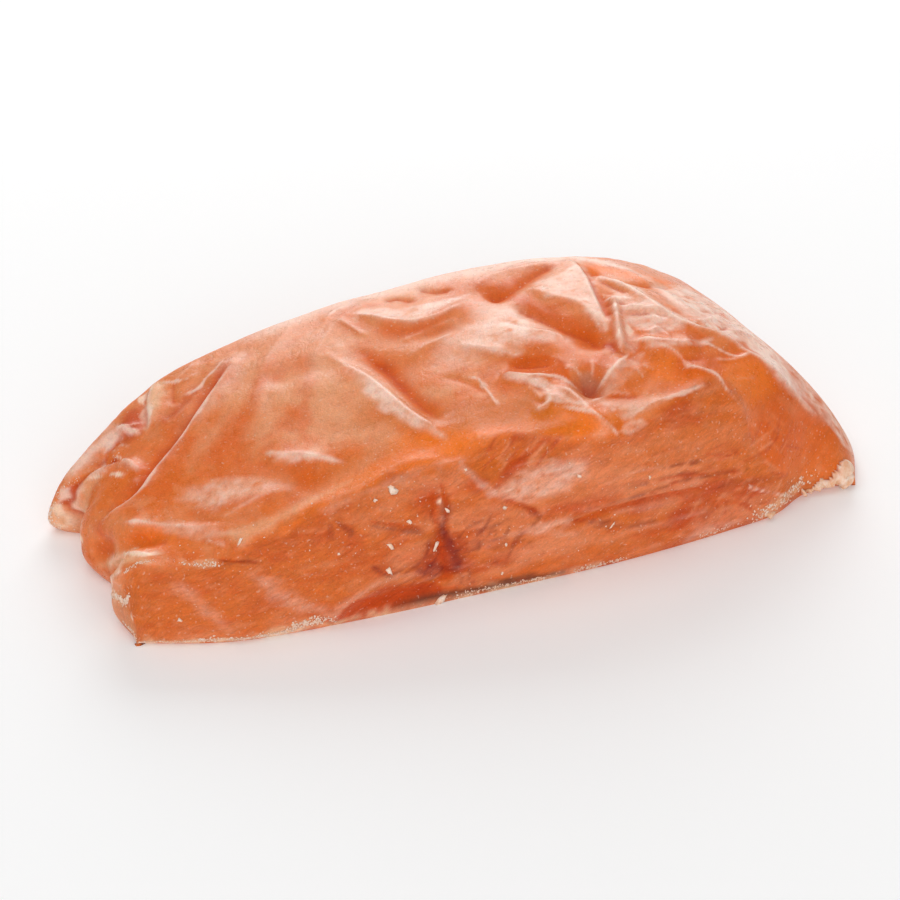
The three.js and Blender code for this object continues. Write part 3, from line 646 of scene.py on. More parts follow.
def clouds(size, seed, low, high, scales=(1, 1, 1)):
    """Share from 0 to 1 in soft irregular patches of about the given size, in millimetres."""
    return ease((layered_noise(skin_point * scales, size, seed, 4) - low) / (high - low))


def facet(outline, soft):
    """Share of paint 1 inside an outline on the skin, easing to 0 over a width about its edge: from
    the distance to the nearest side, counted negative outside."""
    corners = np.asarray(outline, float)
    share = np.zeros(skin_along.size)
    spot = near_line(skin_along, skin_around, outline, soft)
    place = np.stack([skin_along.ravel()[spot], skin_around.ravel()[spot]], -1)
    distance, inside = np.full(len(spot), 1e9), np.zeros(len(spot), bool)
    for start, stop in zip(corners, np.roll(corners, -1, axis=0)):
        way = stop - start
        run = np.clip((place - start) @ way / (way @ way), 0, 1)
        distance = np.minimum(distance, np.linalg.norm(place - start - run[:, None] * way, axis=1))
        spans = (start[1] > place[:, 1]) != (stop[1] > place[:, 1])
        level = (place[:, 1] - start[1]) / (way[1] if way[1] else 1e-9)
        inside ^= spans & (place[:, 0] < start[0] + level * way[0])
    distance = np.where(inside, distance, -distance)
    shake = layered_noise(skin_point.reshape(-1, 3)[spot], 2.0, FACET_SEED)
    distance = distance + 0.35 * min(soft, 1.5) * shake
    share[spot] = ease(0.5 + distance / soft)
    return share.reshape(skin_along.shape)


def coats(colours, layers):
    """The colours with coats of paint laid over them in turn: colour and share of each."""
    for colour, share in layers:
        colours = paint(colours, colour, share)
    return colours


def strokes(colours, colour, waver, items):
    """The colours with strokes of paint laid over them, which waver by some millimetres: line, half
    width and share of each."""
    for line, wide, share in items:
        colours = paint(colours, colour, share * stroke(line, wide, waver))
    return colours


def blots(colours, colour, waver, items):
    """The colours with ellipses of paint laid over them: place, two half lengths, turn in degrees and
    share of each."""
    for place, long, wide, turn, share in items:
        colours = paint(colours, colour, share * blot(place, long, wide, turn, waver))
    return colours


def facets(colours, colour, items, within=1.0):
    """The colours with outlined patches of paint laid over them: outline, softness in millimetres and
    share of each."""
    for outline, soft, share in items:
        colours = paint(colours, colour, share * within * facet(outline, soft))
    return colours


# Colours: the film over the flesh, whose deep orange also paints shade into troughs, the cut muscle,
# bright fat, the pale film that also serves as painted sheen and highlights, the red of painted shade in
# creases, torn edges, blood, grey flesh, the skinned side and the underside
FILM = srgb(228, 114, 40)
FILM_PALE = srgb(234, 160, 114)
FILM_DEEP = srgb(220, 94, 8)
MUSCLE = srgb(216, 106, 37)
MUSCLE_DEEP = srgb(196, 66, 12)
MUSCLE_PALE = srgb(236, 146, 100)
FAT = srgb(250, 122, 14)
VEIL_AND_SHEEN = srgb(252, 212, 192)
SHADE = srgb(200, 66, 14)
CREAM = srgb(242, 196, 156)
RIM = srgb(255, 222, 196)
BLOOD = srgb(128, 22, 8)
PIT = srgb(190, 132, 104)
SKINNED = srgb(112, 52, 26)
BRIM_ORANGE = srgb(212, 108, 22)
UNDERSIDE = srgb(226, 142, 96)
BROWN_FAT = srgb(150, 92, 62)

# The paint of the film, then of the muscle, which meet over this width at the edge of the cut
PAINT_EDGE = 2.5
cut = cut_share(skin_along, skin_around, PAINT_EDGE)
far = ease((skin_around - FAR_SIDE_FROM) / 8)
# how far the skin stands above what is round it: over a few millimetres, and over its next points
proud = skin_height - softened(skin_height, 9)
crisp = skin_height - softened(skin_height, 1)
far_mottle = clouds(5.0, 99, -0.1, 0.7, (0.5, 1, 1)) * clouds(1.1, 95, -0.8, 0.5, (0.5, 1, 1.6))
film = coats(np.broadcast_to(FILM, skin_point.shape), (
    # paler towards the top and far side: partly the membrane's own pale colour, partly a painted sheen
    (FILM_PALE, 0.40 * ease((skin_around - 42) / 24) + 0.30 * clouds(9.0, 81, -0.1, 0.8)),
    (FILM_PALE, 0.30 * clouds(1.6, 91, 0.0, 0.9, (1, 0.6, 1))),
    (SHADE, 0.16 * clouds(1.3, 93, 0.1, 0.9, (0.7, 1, 1))),
    (FILM_PALE, 0.75 * blot((54, 46), 12, 9, 20, 0.5)),
    # painted light: the pocket over the near slab made paler than its shade
    (FILM_PALE, 0.5 * blot((14, 25), 5, 2.2)),
    (FILM_DEEP, 0.45 * clouds(6.0, 83, 0.1, 0.9)),
    (FILM_DEEP, 0.9 * blot((128, 22), 13, 13, 0, 0.15)),
    # painted shade: deeper orange where the skin lies lower than round it
    (FILM_DEEP, 0.55 * ease(-proud / 0.7)),
    # painted highlights: paler where the skin stands proud, and along the far side where it faces the light
    # behind
    (VEIL_AND_SHEEN, 0.35 * ease(proud / 0.9) * clouds(3.0, 85, -0.9, 0.4) * (1 - 0.5 * far)),
    (VEIL_AND_SHEEN, 0.40 * ease((skin_around - 82) / 8) * far_mottle),
))
# the cut muscle: paler and deeper patches, drawn out along its flakes
right_of_slab = 0.5 + 0.5 * ease((skin_along - 40) / 20)
muscle = coats(np.broadcast_to(MUSCLE, skin_point.shape), (
    (MUSCLE_DEEP, 0.6 * clouds(5.0, 101, -0.1, 0.9, (0.7, 1, 1.4)) * right_of_slab),
    (MUSCLE_PALE, 0.5 * clouds(5.0, 111, 0.0, 0.9, (0.5, 1, 1.6))),
    (MUSCLE_PALE, 0.25 * blot((98, 19), 16, 5, -4, 0.4)),
    (MUSCLE_PALE, 0.30 * clouds(1.3, 121, 0.2, 0.9, (0.5, 1, 1.2))),
    (MUSCLE_DEEP, 0.30 * clouds(1.6, 125, 0.3, 1.0, (0.4, 1, 1.6))),
))
flesh_paint = film * (1 - cut)[..., None] + muscle * cut[..., None]

# bright orange flesh where the film is thin: under the brim, at the right end and behind the peak; and,
# over the near slab, painted light that lifts the pocket's shade
flesh_paint = blots(flesh_paint, FAT, 0.3, (
    ((66, 34), 9, 4.5, 10, 0.9), ((82, 32), 9, 3.0, -20, 0.8), ((50, 28.5), 8, 2.2, 20, 0.6),
    ((36, 23), 6, 1.8, 25, 0.5), ((117, 30), 6, 4, -60, 0.6), ((105, 36), 5, 3, -40, 0.6),
    # the last blot, in the pocket over the near slab, is painted light that lifts its shade
    ((60, 92), 22, 5, 0, 0.4), ((112, 90), 10, 5, 0, 0.5), ((14, 25), 6, 3, -8, 0.7),
))
flesh_paint = strokes(flesh_paint, FAT, 0.5, (
    (((108, 74), (112, 65), (117, 61), (123.5, 57)), 1.8, 0.9),
))
# the brim under the pit faces the light: less pale, so that it stays orange
flesh_paint = blots(flesh_paint, BRIM_ORANGE, 0.3, (
    ((69, 38.5), 12, 3.6, -10, 0.85), ((78, 33.5), 6, 2.6, -30, 0.5), ((57, 43), 6, 3.0, 0, 0.5),
    ((49, 33), 7, 2.2, 12, 0.3),
))
# painted shade: deep orange in the troughs below the peak, behind it, and beside the ridges
flesh_paint = strokes(flesh_paint, FILM_DEEP, 0.6, (
    (((88.5, 71.5), (90.5, 67.5), (92, 62), (94, 56.5), (95.5, 51.5), (95, 45)), 1.7, 0.9),
    (((88.5, 71.5), (97.5, 74.5), (105, 75.5)), 1.3, 0.8),
    (((61, 66), (63, 57), (63.5, 49), (64, 38)), 1.8, 0.7),
    (((66, 69.5), (69.5, 66), (74.5, 65.5), (79.5, 67.5)), 1.5, 0.7),
    (((37.5, 43.5), (43, 47), (47.5, 50.5)), 2.2, 0.3),
    (((103, 36.5), (109, 36.5), (114, 33.5)), 2.2, 0.6), (((67, 76), (69.5, 76), (71.5, 76)), 0.7, 0.5),
    (((73.5, 75.5), (75, 75), (76.5, 74.5)), 0.7, 0.5), (((80, 78), (82.5, 76)), 0.7, 0.4),
    (((102, 43.5), (105, 42), (111, 39.5)), 0.45, 0.8),
))
# painted shade in spots beside the ridges, in the trough under the peak and in the hollows
flesh_paint = blots(flesh_paint, FILM_DEEP, 0.2, (
    ((88.5, 72.5), 2.6, 4.0, 20, 0.6), ((111, 41), 2.5, 1.6, -30, 0.6), ((34, 45), 5, 5, 20, 0.35),
    ((30, 29), 6, 1.2, 0, 0.5), ((24, 57), 2.0, 1.4, 30, 0.6), ((108, 35), 4, 2.5, -20, 0.6),
))
# streaks of the film drawn down the left panel, pale and deep side by side
flesh_paint = strokes(flesh_paint, FILM_PALE, 1.2, (
    (((47.5, 70.5), (40.5, 57.5), (32.5, 47), (26, 39.5)), 1.5, 0.6),
    (((52, 62.5), (44, 52.5), (38.5, 43), (39.5, 39)), 2.2, 0.7),
    (((42.5, 66.5), (36.5, 59), (30.5, 52), (25.5, 47.5)), 0.9, 0.5),
    (((57.5, 65), (52.5, 55), (50.5, 47), (51.5, 40)), 2.0, 0.6),
))
flesh_paint = strokes(flesh_paint, FILM_DEEP, 1.2, (
    (((39, 53), (34.5, 45.5), (28, 38.5)), 2.2, 0.5), (((49, 66), (41.5, 54), (36.5, 46)), 0.8, 0.4),
    (((53.5, 60), (48, 50.5), (46, 43)), 1.2, 0.45),
))
# pale film: partly where it stands off the flesh, partly painted sheen on planes that face the light behind
haze_and_sheen = clouds(1.6, 87, -1.3, -0.1) * (0.65 + 0.35 * clouds(2.4, 89, -0.6, 0.6, (0.5, 0.8, 3.0)))
haze_and_sheen = haze_and_sheen * (0.7 + 0.45 * clouds(1.1, 95, -0.6, 0.6, (0.5, 1, 1.6)))
# painted highlight along the far edge of the top, where the light behind catches it
flesh_paint = strokes(flesh_paint, VEIL_AND_SHEEN, 1.0, (
    (((40, 74), (60, 79.5), (75, 82), (90, 81), (104, 78), (112, 72)), 2.6, 0.75),
    (((94, 80.5), (102, 78.5), (107.5, 76.3), (111.5, 72.3), (113.7, 67.5), (115.3, 63),
      (118, 59)), 0.9, 0.85),
))
# pale planes of the film: partly its own pale colour, partly painted sheen
flesh_paint = facets(flesh_paint, VEIL_AND_SHEEN, (
    (((65.5, 74.5), (68, 71), (70.5, 68.5), (72.5, 67), (76.5, 68.5), (81, 70.5), (85, 73), (79.5, 73),
      (72.5, 73), (67, 75.5)), 1.3, 0.8),
    (((83.5, 70.5), (87, 66.5), (89.5, 65), (90, 58), (91.5, 53.5), (92, 51.5), (86.5, 53), (80.5, 53.5),
      (77, 56), (79.5, 58.5), (81.5, 63.5)), 3.4, 0.75),
    (((70, 52), (73, 60), (78, 64), (83, 61), (79, 56), (75, 51)), 4.0, 0.45),
    (((108.5, 74), (107, 69), (102.5, 59.5), (100, 53), (98, 50.5), (97.5, 53), (98, 58), (96.5, 62.5),
      (94.5, 64), (95.5, 71), (102.5, 70.5)), 1.4, 0.9),
    (((115.5, 60.5), (125.5, 56), (127.5, 45), (128, 35.5), (127.5, 21.5), (123, 27.5), (121, 33),
      (121.5, 38), (115.5, 40.5), (113, 46.5), (113.5, 52)), 2.4, 0.95),
    (((107, 66), (110.5, 58), (110.5, 53.5), (108.5, 55), (106.5, 64.5)), 1.0, 0.6),
    (((106, 60), (110, 52), (113, 45), (108, 44.5), (104, 45.5), (102.5, 50)), 1.4, 0.8),
    (((101, 45), (105.5, 42.5), (111, 40.5), (115.5, 40), (110.5, 39.5), (104, 41),
      (101.5, 43)), 0.9, 0.5),
    (((90, 34.5), (94.5, 34.5), (99, 31.5), (96, 30), (93, 29.5), (90, 32)), 1.8, 0.5),
    (((89.5, 35.5), (92, 38), (95.5, 41), (99, 42.5), (100.5, 42), (96.5, 38), (92.5, 36.5)), 1.2, 0.45),
    (((77.5, 45.5), (81, 43.5), (83, 43), (84.5, 39), (85.5, 35.5), (88, 34), (87, 33), (84, 35.5),
      (81.5, 37), (81.5, 40.5), (80, 42.5)), 0.9, 0.85),
    (((59.5, 67.5), (60, 60), (60.2, 50.5), (60.7, 42), (60.5, 38.5), (58.5, 43.5), (57, 50.5),
      (57, 62)), 2.2, 0.35),
    (((60, 52.5), (60.6, 46), (62.3, 38), (64.3, 33.8), (60.5, 38), (57.8, 43.5), (57, 49.5)), 1.8, 0.75),
    (((106, 59), (103, 52), (101.5, 45), (99.5, 43.5), (97.8, 44), (98.5, 47.5), (103, 56)), 1.6, 0.6),
    (((76, 56.5), (80, 53), (84, 51.8), (83, 51), (79.5, 51.8), (77.5, 54)), 1.0, 0.5),
    (((41.5, 68.5), (46.5, 70), (41, 59.5), (32.5, 52), (37, 59.5)), 4.0, 0.3),
    (((48, 69), (53, 70.5), (49, 61), (41.5, 51), (44, 59.5)), 4.0, 0.2),
    (((55, 71), (60, 73.5), (59, 66.5), (53.5, 58.5), (48, 52), (51.5, 62.5)), 4.0, 0.16),
    (((23, 33), (25.5, 35.5), (31, 36), (37.5, 32.5), (39, 31), (33, 30.5), (27, 28.5)), 2.6, 0.5),
    (((38.5, 39.5), (43.5, 37.5), (48, 33.5), (43, 35.5), (40.5, 36.5)), 1.4, 0.7),
    (((14.5, 29), (21, 27), (27, 24), (29.5, 22.5), (23.5, 23), (18.5, 26)), 1.6, 0.4),
    (((20.5, 59.5), (21.5, 56), (13, 48.5), (12, 48.5), (16.5, 54)), 1.4, 0.6),
    (((29.5, 14), (32, 12.5), (40.5, 4), (36.5, 5), (30.5, 10.5)), 3.5, 0.35),
    (((18.5, 15), (21, 9.5), (25, 3.5), (21.5, 6.5), (18, 12)), 3.0, 0.3),
    (((42, 24), (48.5, 26), (55.5, 28), (63.5, 30), (63.5, 28.5), (55, 26.5), (48, 25),
      (43, 22.5)), 1.4, 0.18),
    (((70, 21), (74, 24), (79, 24.5), (86, 23.5), (86, 20.5), (80, 18.5), (74, 18)), 3.0, 0.55),
    (((74, 12.5), (78, 13), (83, 12.5), (83, 11), (76, 11)), 1.4, 0.4),
    (((65, 28.5), (68.5, 23.5), (70.5, 20.5), (69, 20), (66.5, 24), (64.5, 27)), 0.9, 0.3),
    (((107, 3.5), (115, 2), (112, 0.5), (104, 0.5)), 1.6, 0.4),
    (((91, 27.5), (94, 26.5), (97, 27.5), (96, 29), (93, 28.5)), 1.0, 0.6),
), haze_and_sheen)
# painted sheen on the flank behind the long right ridge, which faces the light behind: crisp along the
# ridge, fading out towards the far side
FLANK = ((121, 36), (128, 22), (134, 14.5), (138.5, 10.5), (150, 12), (150, 60), (127, 60))
fading = ease((58 - skin_around) / 26) * (0.55 + 0.45 * clouds(5.0, 97, -0.5, 0.5, (0.6, 1, 0.8)))
flesh_paint = paint(flesh_paint, VEIL_AND_SHEEN, 0.85 * facet(FLANK, 1.0) * haze_and_sheen * fading)
# the cut: deeper muscle about the crease, painted shade along the foot beside it, a paler lip, flake and
# patches, and a faint painted highlight along the lip
flesh_paint = facets(flesh_paint, MUSCLE_DEEP, (
    (((57, 24.5), (61, 23), (61, 17), (56.5, 19)), 3.0, 0.5),
    (((59, 13.5), (61, 16), (62.5, 14.5), (63.5, 11.5), (64.5, 8), (62.5, 4), (59, 5.5), (55.5, 7.5),
      (57, 9.5), (59, 11)), 3.0, 0.65),
    # painted shade along the foot left of the crease
    (((42, 2.5), (45, 5), (50, 6.5), (58, 5), (61, 3), (61, 0.5), (50, 0.5), (43, 1)), 0.9, 0.75),
    (((72.5, 26), (79, 29), (75.5, 25), (70, 22)), 1.6, 0.7),
    (((96, 5), (104, 4), (120, 9), (110, 12)), 4.0, 0.5),
))
flesh_paint = facets(flesh_paint, MUSCLE_PALE, (
    (((59, 13.5), (57.5, 10.5), (53, 8.8), (51, 12), (53.5, 14)), 1.6, 0.45),
    (((68, 15.5), (73.5, 16.5), (77, 14.5), (74, 12), (72, 9.5), (67, 9), (64.5, 11)), 1.5, 0.35),
    (((62, 2.8), (67, 2.3), (65.5, 5), (63.8, 5.5)), 0.8, 0.6),
    (((72, 4.5), (84, 5), (90, 9), (80, 10), (74, 9)), 3.0, 0.4),
))
# a faint painted highlight along the crest of the low lip
flesh_paint = strokes(flesh_paint, VEIL_AND_SHEEN, 0.5, (
    (((40, 2), (42, 3.5), (45, 6), (50, 7.8), (54.5, 8), (59, 7)), 0.5, 0.15),
))
# painted shade: deep orange in the hollow beside the pit
HOLLOW = (
    (78, 46.3), (80.5, 49.5), (83.5, 51), (86.5, 49.5), (88, 45.5), (87, 41.5), (84.5, 43), (81.5, 44.2),
)
hollow = facet(HOLLOW, 1.2)
flesh_paint = paint(flesh_paint, FILM_DEEP, 0.9 * hollow)
# cream: the torn edges of the film and of the fat, the near slab's corner, and the pleat by the peak
flesh_paint = facets(flesh_paint, CREAM, (
    (((29.5, 67), (31, 66.5), (29.5, 62), (26.5, 57), (24, 53.5), (25.5, 58), (26.5, 62),
      (28, 65)), 1.5, 0.6),
    (((12.5, 47), (14, 45), (11.5, 44), (9, 43), (8.5, 37), (6, 37), (4, 44), (8.5, 45)), 1.8, 0.42),
    (((3, 30.5), (8, 27), (13, 21), (17.5, 20.5), (13.5, 19), (9.5, 19.5)), 1.4, 0.6),
    (((1, 20), (10, 19), (11, 18), (8.5, 16.5), (6, 12), (5, 4), (8, 1), (1, 0)), 2.0, 0.22),
    (((6, 48), (7, 46), (5, 44), (-2, 43), (-3, 48)), 1.4, 0.3),
    (((27, 23), (33, 24.5), (40.5, 27), (48, 29), (42.5, 26), (35.5, 22.5), (29, 20)), 2.2, 0.4),
))
# reddish shade where the film folds under the long laps, and in the crease of the cut
flesh_paint = strokes(flesh_paint, SHADE, 0.4, (
    (((45, 71.6), (30.3, 52.1), (19.8, 40.1), (14.5, 34)), 1.1, 0.5),
    (((37, 64), (31, 58), (25.5, 53)), 1.2, 0.45), (((24.5, 62), (22.5, 56), (20, 51.5)), 1.2, 0.5),
    (((62.8, 60), (63.2, 54), (63.2, 48)), 1.0, 0.5), (((96, 48.5), (96.5, 46.5), (96.5, 44)), 0.9, 0.8),
    (((12, 34.5), (9.5, 32), (9, 28.5)), 1.0, 0.5), (((15, 23.5), (19, 23.5)), 1.0, 0.5),
))
# blood in the crease and in hairlines between the muscle's flakes
flesh_paint = strokes(flesh_paint, BLOOD, 0.4, (
    (((61.5, 23), (62, 19), (61, 15), (62, 12), (63.5, 8), (63, 4)), 0.9, 0.7),
    (((60.8, 16.5), (61.8, 14), (62.6, 11.5)), 0.4, 0.8), (((43.5, 22), (46.5, 18)), 0.3, 0.5),
    (((43, 21.5), (42.5, 18)), 0.3, 0.35), (((47.5, 20), (52, 18), (59, 15)), 0.3, 0.5),
    (((59, 14.5), (58, 11), (54.5, 8.5)), 0.3, 0.5),
    (((73.5, 18.5), (76.5, 15), (77.5, 14), (74.5, 12), (73, 10), (71, 4.5)), 0.35, 0.5),
    (((55.5, 9), (61, 5)), 0.25, 0.5), (((57, 10), (62.5, 6)), 0.25, 0.5),
    (((48.5, 11.5), (51.5, 8.5)), 0.3, 0.6), (((24.5, 18), (28, 17), (31.5, 16)), 0.25, 0.5),
    (((88.5, 13), (95.5, 13.5), (103, 14), (110.5, 13.5), (115.5, 12.5)), 0.35, 0.6),
    (((98, 18.5), (104.5, 17.5), (109.5, 16.5)), 0.28, 0.55),
    (((81, 13), (86.5, 10.5), (92, 9)), 0.35, 0.55),
    (((92, 15.5), (99, 16), (106, 15), (112, 14.5)), 0.25, 0.5),
    (((86, 9.5), (93, 8), (101, 7.5)), 0.25, 0.45), (((94, 12), (101, 12.3), (108, 11.8)), 0.25, 0.45),
    (((105, 10.5), (112.5, 10.5), (123, 8.5)), 0.6, 0.3),
))
# hairlines that fan out from the crease
CREASE_MIDDLE = np.array([62.5, 10.0])
draw = np.random.default_rng(17)
for _ in range(60):
    turn, reach, start_at = draw.uniform(0, 2 * np.pi), draw.uniform(4, 12), draw.uniform(1.5, 5)
    way = np.array([np.cos(turn), 0.7 * np.sin(turn)])
    bow = draw.uniform(-1.5, 1.5) * np.array([-way[1], way[0]])
    root = CREASE_MIDDLE + draw.normal(0, 2.0, 2)
    line = (root + way * start_at, root + way * (start_at + reach) / 2 + bow, root + way * reach)
    flesh_paint = paint(flesh_paint, BLOOD, draw.uniform(0.2, 0.5) * stroke(line, 0.26, 0.1) * cut)
# the pinched creases, pale partly of themselves and partly by a painted highlight, and the torn edges
flesh_paint = strokes(flesh_paint, VEIL_AND_SHEEN, 0.45, [(line, 0.6 * width, 0.7) for line, width in PINCHES])
flesh_paint = strokes(flesh_paint, RIM, 0.8, [(line, width, 0.85) for line, width in TEARS])
# frost crust under the crumbs
flesh_paint = strokes(flesh_paint, CREAM, 1.2, (
    (((5, 19.5), (6, 18), (6.5, 15), (8.5, 14)), 0.6, 0.6),
    (((11, 18), (14, 18.3), (16, 18.6)), 0.4, 0.5), (((19, 18), (22, 17.3), (25, 17)), 0.5, 0.35),
    (((5, 1), (14, 0.8), (28, 1.0), (36, 1.7), (41, 2)), 0.7, 0.5),
    (((62, 0.5), (70, 0.9), (79, 0.6), (93, 0.6)), 0.5, 0.4), (((118, 2), (124, 3), (130, 4)), 0.9, 0.5),
))
# striped muscle right of the crease, its flakes running up to the right
draw = np.random.default_rng(29)
for _ in range(26):
    root = np.array([draw.uniform(68, 80), draw.uniform(24, 28)])
    tip = root + draw.uniform(2.5, 5) * np.array([0.75, 0.85])
    colour = (MUSCLE_DEEP, MUSCLE_PALE)[int(draw.integers(2))]
    flesh_paint = paint(flesh_paint, colour, draw.uniform(0.3, 0.7) * stroke((root, tip), 0.3, 0.1) * cut)
# straight hairlines that cross each other low at the right end, and faint long ones above them
draw = np.random.default_rng(53)
for _ in range(64):
    root = np.array([draw.uniform(100, 124), draw.uniform(3, 19)])
    turn, reach = draw.normal(0.0, 0.75), draw.uniform(2.5, 7)
    tip = root + reach * np.array([np.cos(turn), np.sin(turn)])
    colour = (MUSCLE_DEEP, MUSCLE_PALE, MUSCLE_DEEP)[int(draw.integers(3))]
    flesh_paint = paint(flesh_paint, colour, draw.uniform(0.3, 0.75) * stroke((root, tip), 0.24, 0.05))
for _ in range(16):
    root = np.array([draw.uniform(114, 127), draw.uniform(18, 26)])
    tip = root + draw.uniform(5, 10) * np.array([0.62, -0.78])
    flesh_paint = paint(flesh_paint, MUSCLE_PALE, draw.uniform(0.1, 0.25) * stroke((root, tip), 0.4, 0.1))
# grey flesh seen in the pit, and the brown fat of the skinned side along the foot, partly painted shade
# where it curls under the block
flesh_paint = blots(flesh_paint, PIT, 0.3, (
    ((89.9, 40.8), 1.2, 2.2, 10, 0.65), ((89, 38.5), 4.0, 3.0, 0, 0.4),
))
flesh_paint = facets(flesh_paint, SKINNED, (
    (((52, 1), (59, 1.7), (64, 1.6), (68, 2), (70.5, 2.6), (76, 2.2), (82, 1.4), (70, 0.5),
      (59, 0.4)), 0.8, 0.9),
))
flesh_paint = strokes(flesh_paint, CREAM, 0.8, (
    (((38, 0.6), (42.5, 0.8), (50.5, 0.4), (59, 0)), 0.5, 0.6), (((61, 0.3), (66, 0), (84, 0)), 0.5, 0.6),
))
# the lobe's rim of fat, orange flesh behind the tears of the far tip, and its pale lump
flesh_paint = facets(flesh_paint, MUSCLE_DEEP, (
    (((12.5, 47), (11, 47.8), (8.5, 46.6), (7.5, 46.7), (6.5, 45), (9.5, 45.6)), 0.6, 0.8),
    (((18, 49.5), (17, 49), (15.5, 46.3), (16, 47), (17.5, 47.7)), 0.6, 0.8),
    (((26.3, 62), (25.2, 57.5), (23.5, 53.5), (21.5, 57), (24, 61)), 1.4, 0.5),
))
flesh_paint = strokes(flesh_paint, MUSCLE_DEEP, 0.5, (
    (((20.5, 55), (18.5, 53), (15.5, 48)), 0.4, 0.8),
))
flesh_paint = strokes(flesh_paint, VEIL_AND_SHEEN, 0.6, (
    (((21, 60), (22, 57), (22, 55), (23, 53)), 0.4, 0.7),
    (((21.5, 55.5), (20, 54.5), (18, 52.5), (14, 45.5)), 0.35, 0.8),
    (((19.5, 53), (20.5, 51)), 0.35, 0.7), (((21.5, 57.5), (19, 55), (16.5, 53), (12, 49)), 0.9, 0.7),
    (((11, 48), (10, 47.5), (8.5, 46)), 0.4, 0.8),
))
flesh_paint = facets(flesh_paint, CREAM, (
    (((5.5, 47.5), (7.5, 47.5), (7, 46), (4, 44), (1, 44), (1, 46), (3.5, 48)), 1.6, 0.4),
))
# painted shade in creases, deeper and redder, and painted highlights on crests, less so on the cut and the
# far side
flesh_paint = paint(flesh_paint, SHADE, 0.5 * ease((-crisp - 0.01) / 0.12))
crest_highlight_share = 0.38 * ease((crisp - 0.01) / 0.12)
flesh_paint = paint(flesh_paint, VEIL_AND_SHEEN, crest_highlight_share * (1 - 0.6 * cut) * (1 - 0.7 * far))
# troughs, the hollow and the flank behind the right ridge are duller than the wet crests
dull = np.clip(ease(-proud / 0.6) + hollow + blot((136, 28), 7, 18, 0, 0.1), 0, 1)

# The foot's outline, in order: up the left end, along the far side, down the right end and back along
# the front. The underside closes it, with a band of brown fat along its middle.
BAND_MIDDLE, BAND_REACH, BAND_SHARE = 20, 8, 0.85
# The skin's own map has one unit for 100 mm, and edges sharper than this angle stay sharp.
UV_SPAN = 100
SHARP_FROM = 70
index = np.arange(skin_along.size).reshape(skin_along.shape)
rim = np.concatenate([index[0, :-1], index[:-1, -1], index[-1, :0:-1], index[:0:-1, 0]])
skin_point.reshape(-1, 3)[rim, 2] = 0
under_points, under_quads, under_fan = underside(rim, skin_along.size)
under = len(under_points)
band = np.exp(-((under_points[:, 1] - BAND_MIDDLE) / BAND_REACH) ** 2)
under_paint = paint(np.tile(UNDERSIDE, (under, 1)), BROWN_FAT, BAND_SHARE * band)
skin_sheet = np.stack([skin_along, skin_around], -1).reshape(-1, 2)
block_piece = mesh_piece(
    "salmon_portion_flesh",
    np.vstack([skin_point.reshape(-1, 3), under_points]),
    [grid_faces(*skin_along.shape), under_quads, under_fan],
    "flesh",
    np.vstack([flesh_paint.reshape(-1, 3), under_paint]),
    {"cut": np.append(cut.ravel(), np.zeros(under)), "dull": np.append(dull.ravel(), np.ones(under))},
    np.vstack([skin_sheet, under_points[:, :2]]) / UV_SPAN,
    [False, True, True],
)
block_piece.data.set_sharp_from_angle(angle=np.radians(SHARP_FROM))
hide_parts("salmon_portion")


class Term:
    """A value in a shader. Operators between terms and numbers add the Math node that does the same."""

    def __init__(self, tree, socket=None):
        self.tree = tree
        self.socket = socket

    def node(self, kind, settings=None, inputs=None, output=0):
        """Any other node: its type, its settings, its inputs as values or terms, and which output."""
        made = self.tree.nodes.new(kind)
        for key, value in (settings or {}).items():
            setattr(made, key, value)
        for key, value in (inputs or {}).items():
            if isinstance(value, Term):
                self.tree.links.new(value.socket, made.inputs[key])
            else:
                made.inputs[key].default_value = value
        return Term(self.tree, made.outputs[output])

    def maths(self, operation, first, second, clamp=False):
        settings = {"operation": operation, "use_clamp": clamp}
        return self.node("ShaderNodeMath", settings, {0: first, 1: second})

    def __add__(self, other):
        return self.maths("ADD", self, other)

    def __radd__(self, other):
        return self.maths("ADD", other, self)

    def __sub__(self, other):
        return self.maths("SUBTRACT", self, other)

    def __rsub__(self, other):
        return self.maths("SUBTRACT", other, self)

    def __mul__(self, other):
        return self.maths("MULTIPLY", self, other)

    def __rmul__(self, other):
        return self.maths("MULTIPLY", other, self)

    def clamped(self):
        return self.maths("ADD", self, 0.0, True)

    def mixed(self, other, share):
        """This colour with another laid over it by a share."""
        settings = {"data_type": "RGBA", "clamp_factor": True}
        return self.node("ShaderNodeMix", settings, {0: share, 6: self, 7: other}, 2)

    def scaled(self, share):
        """This colour times a value."""
        return self.node("ShaderNodeVectorMath", {"operation": "SCALE"}, {0: self, "Scale": share})


def new_shader(name, values):
    """A material, its Principled shader with the given constant values, and a first term to build on."""
    material = bpy.data.materials.new(name)
    material.use_nodes = True
    shader = material.node_tree.nodes["Principled BSDF"]
    for key, value in values.items():
        shader.inputs[key].default_value = value
    return material, shader, Term(material.node_tree)


def plug(shader, key, term):
    """Feeds one of the shader's inputs from a term."""
    term.tree.links.new(term.socket, shader.inputs[key])


def tint(start, *levels):
    """A constant colour to mix with."""
    colour = start.node("ShaderNodeRGB")
    colour.socket.default_value = (*levels, 1.0)
    return colour


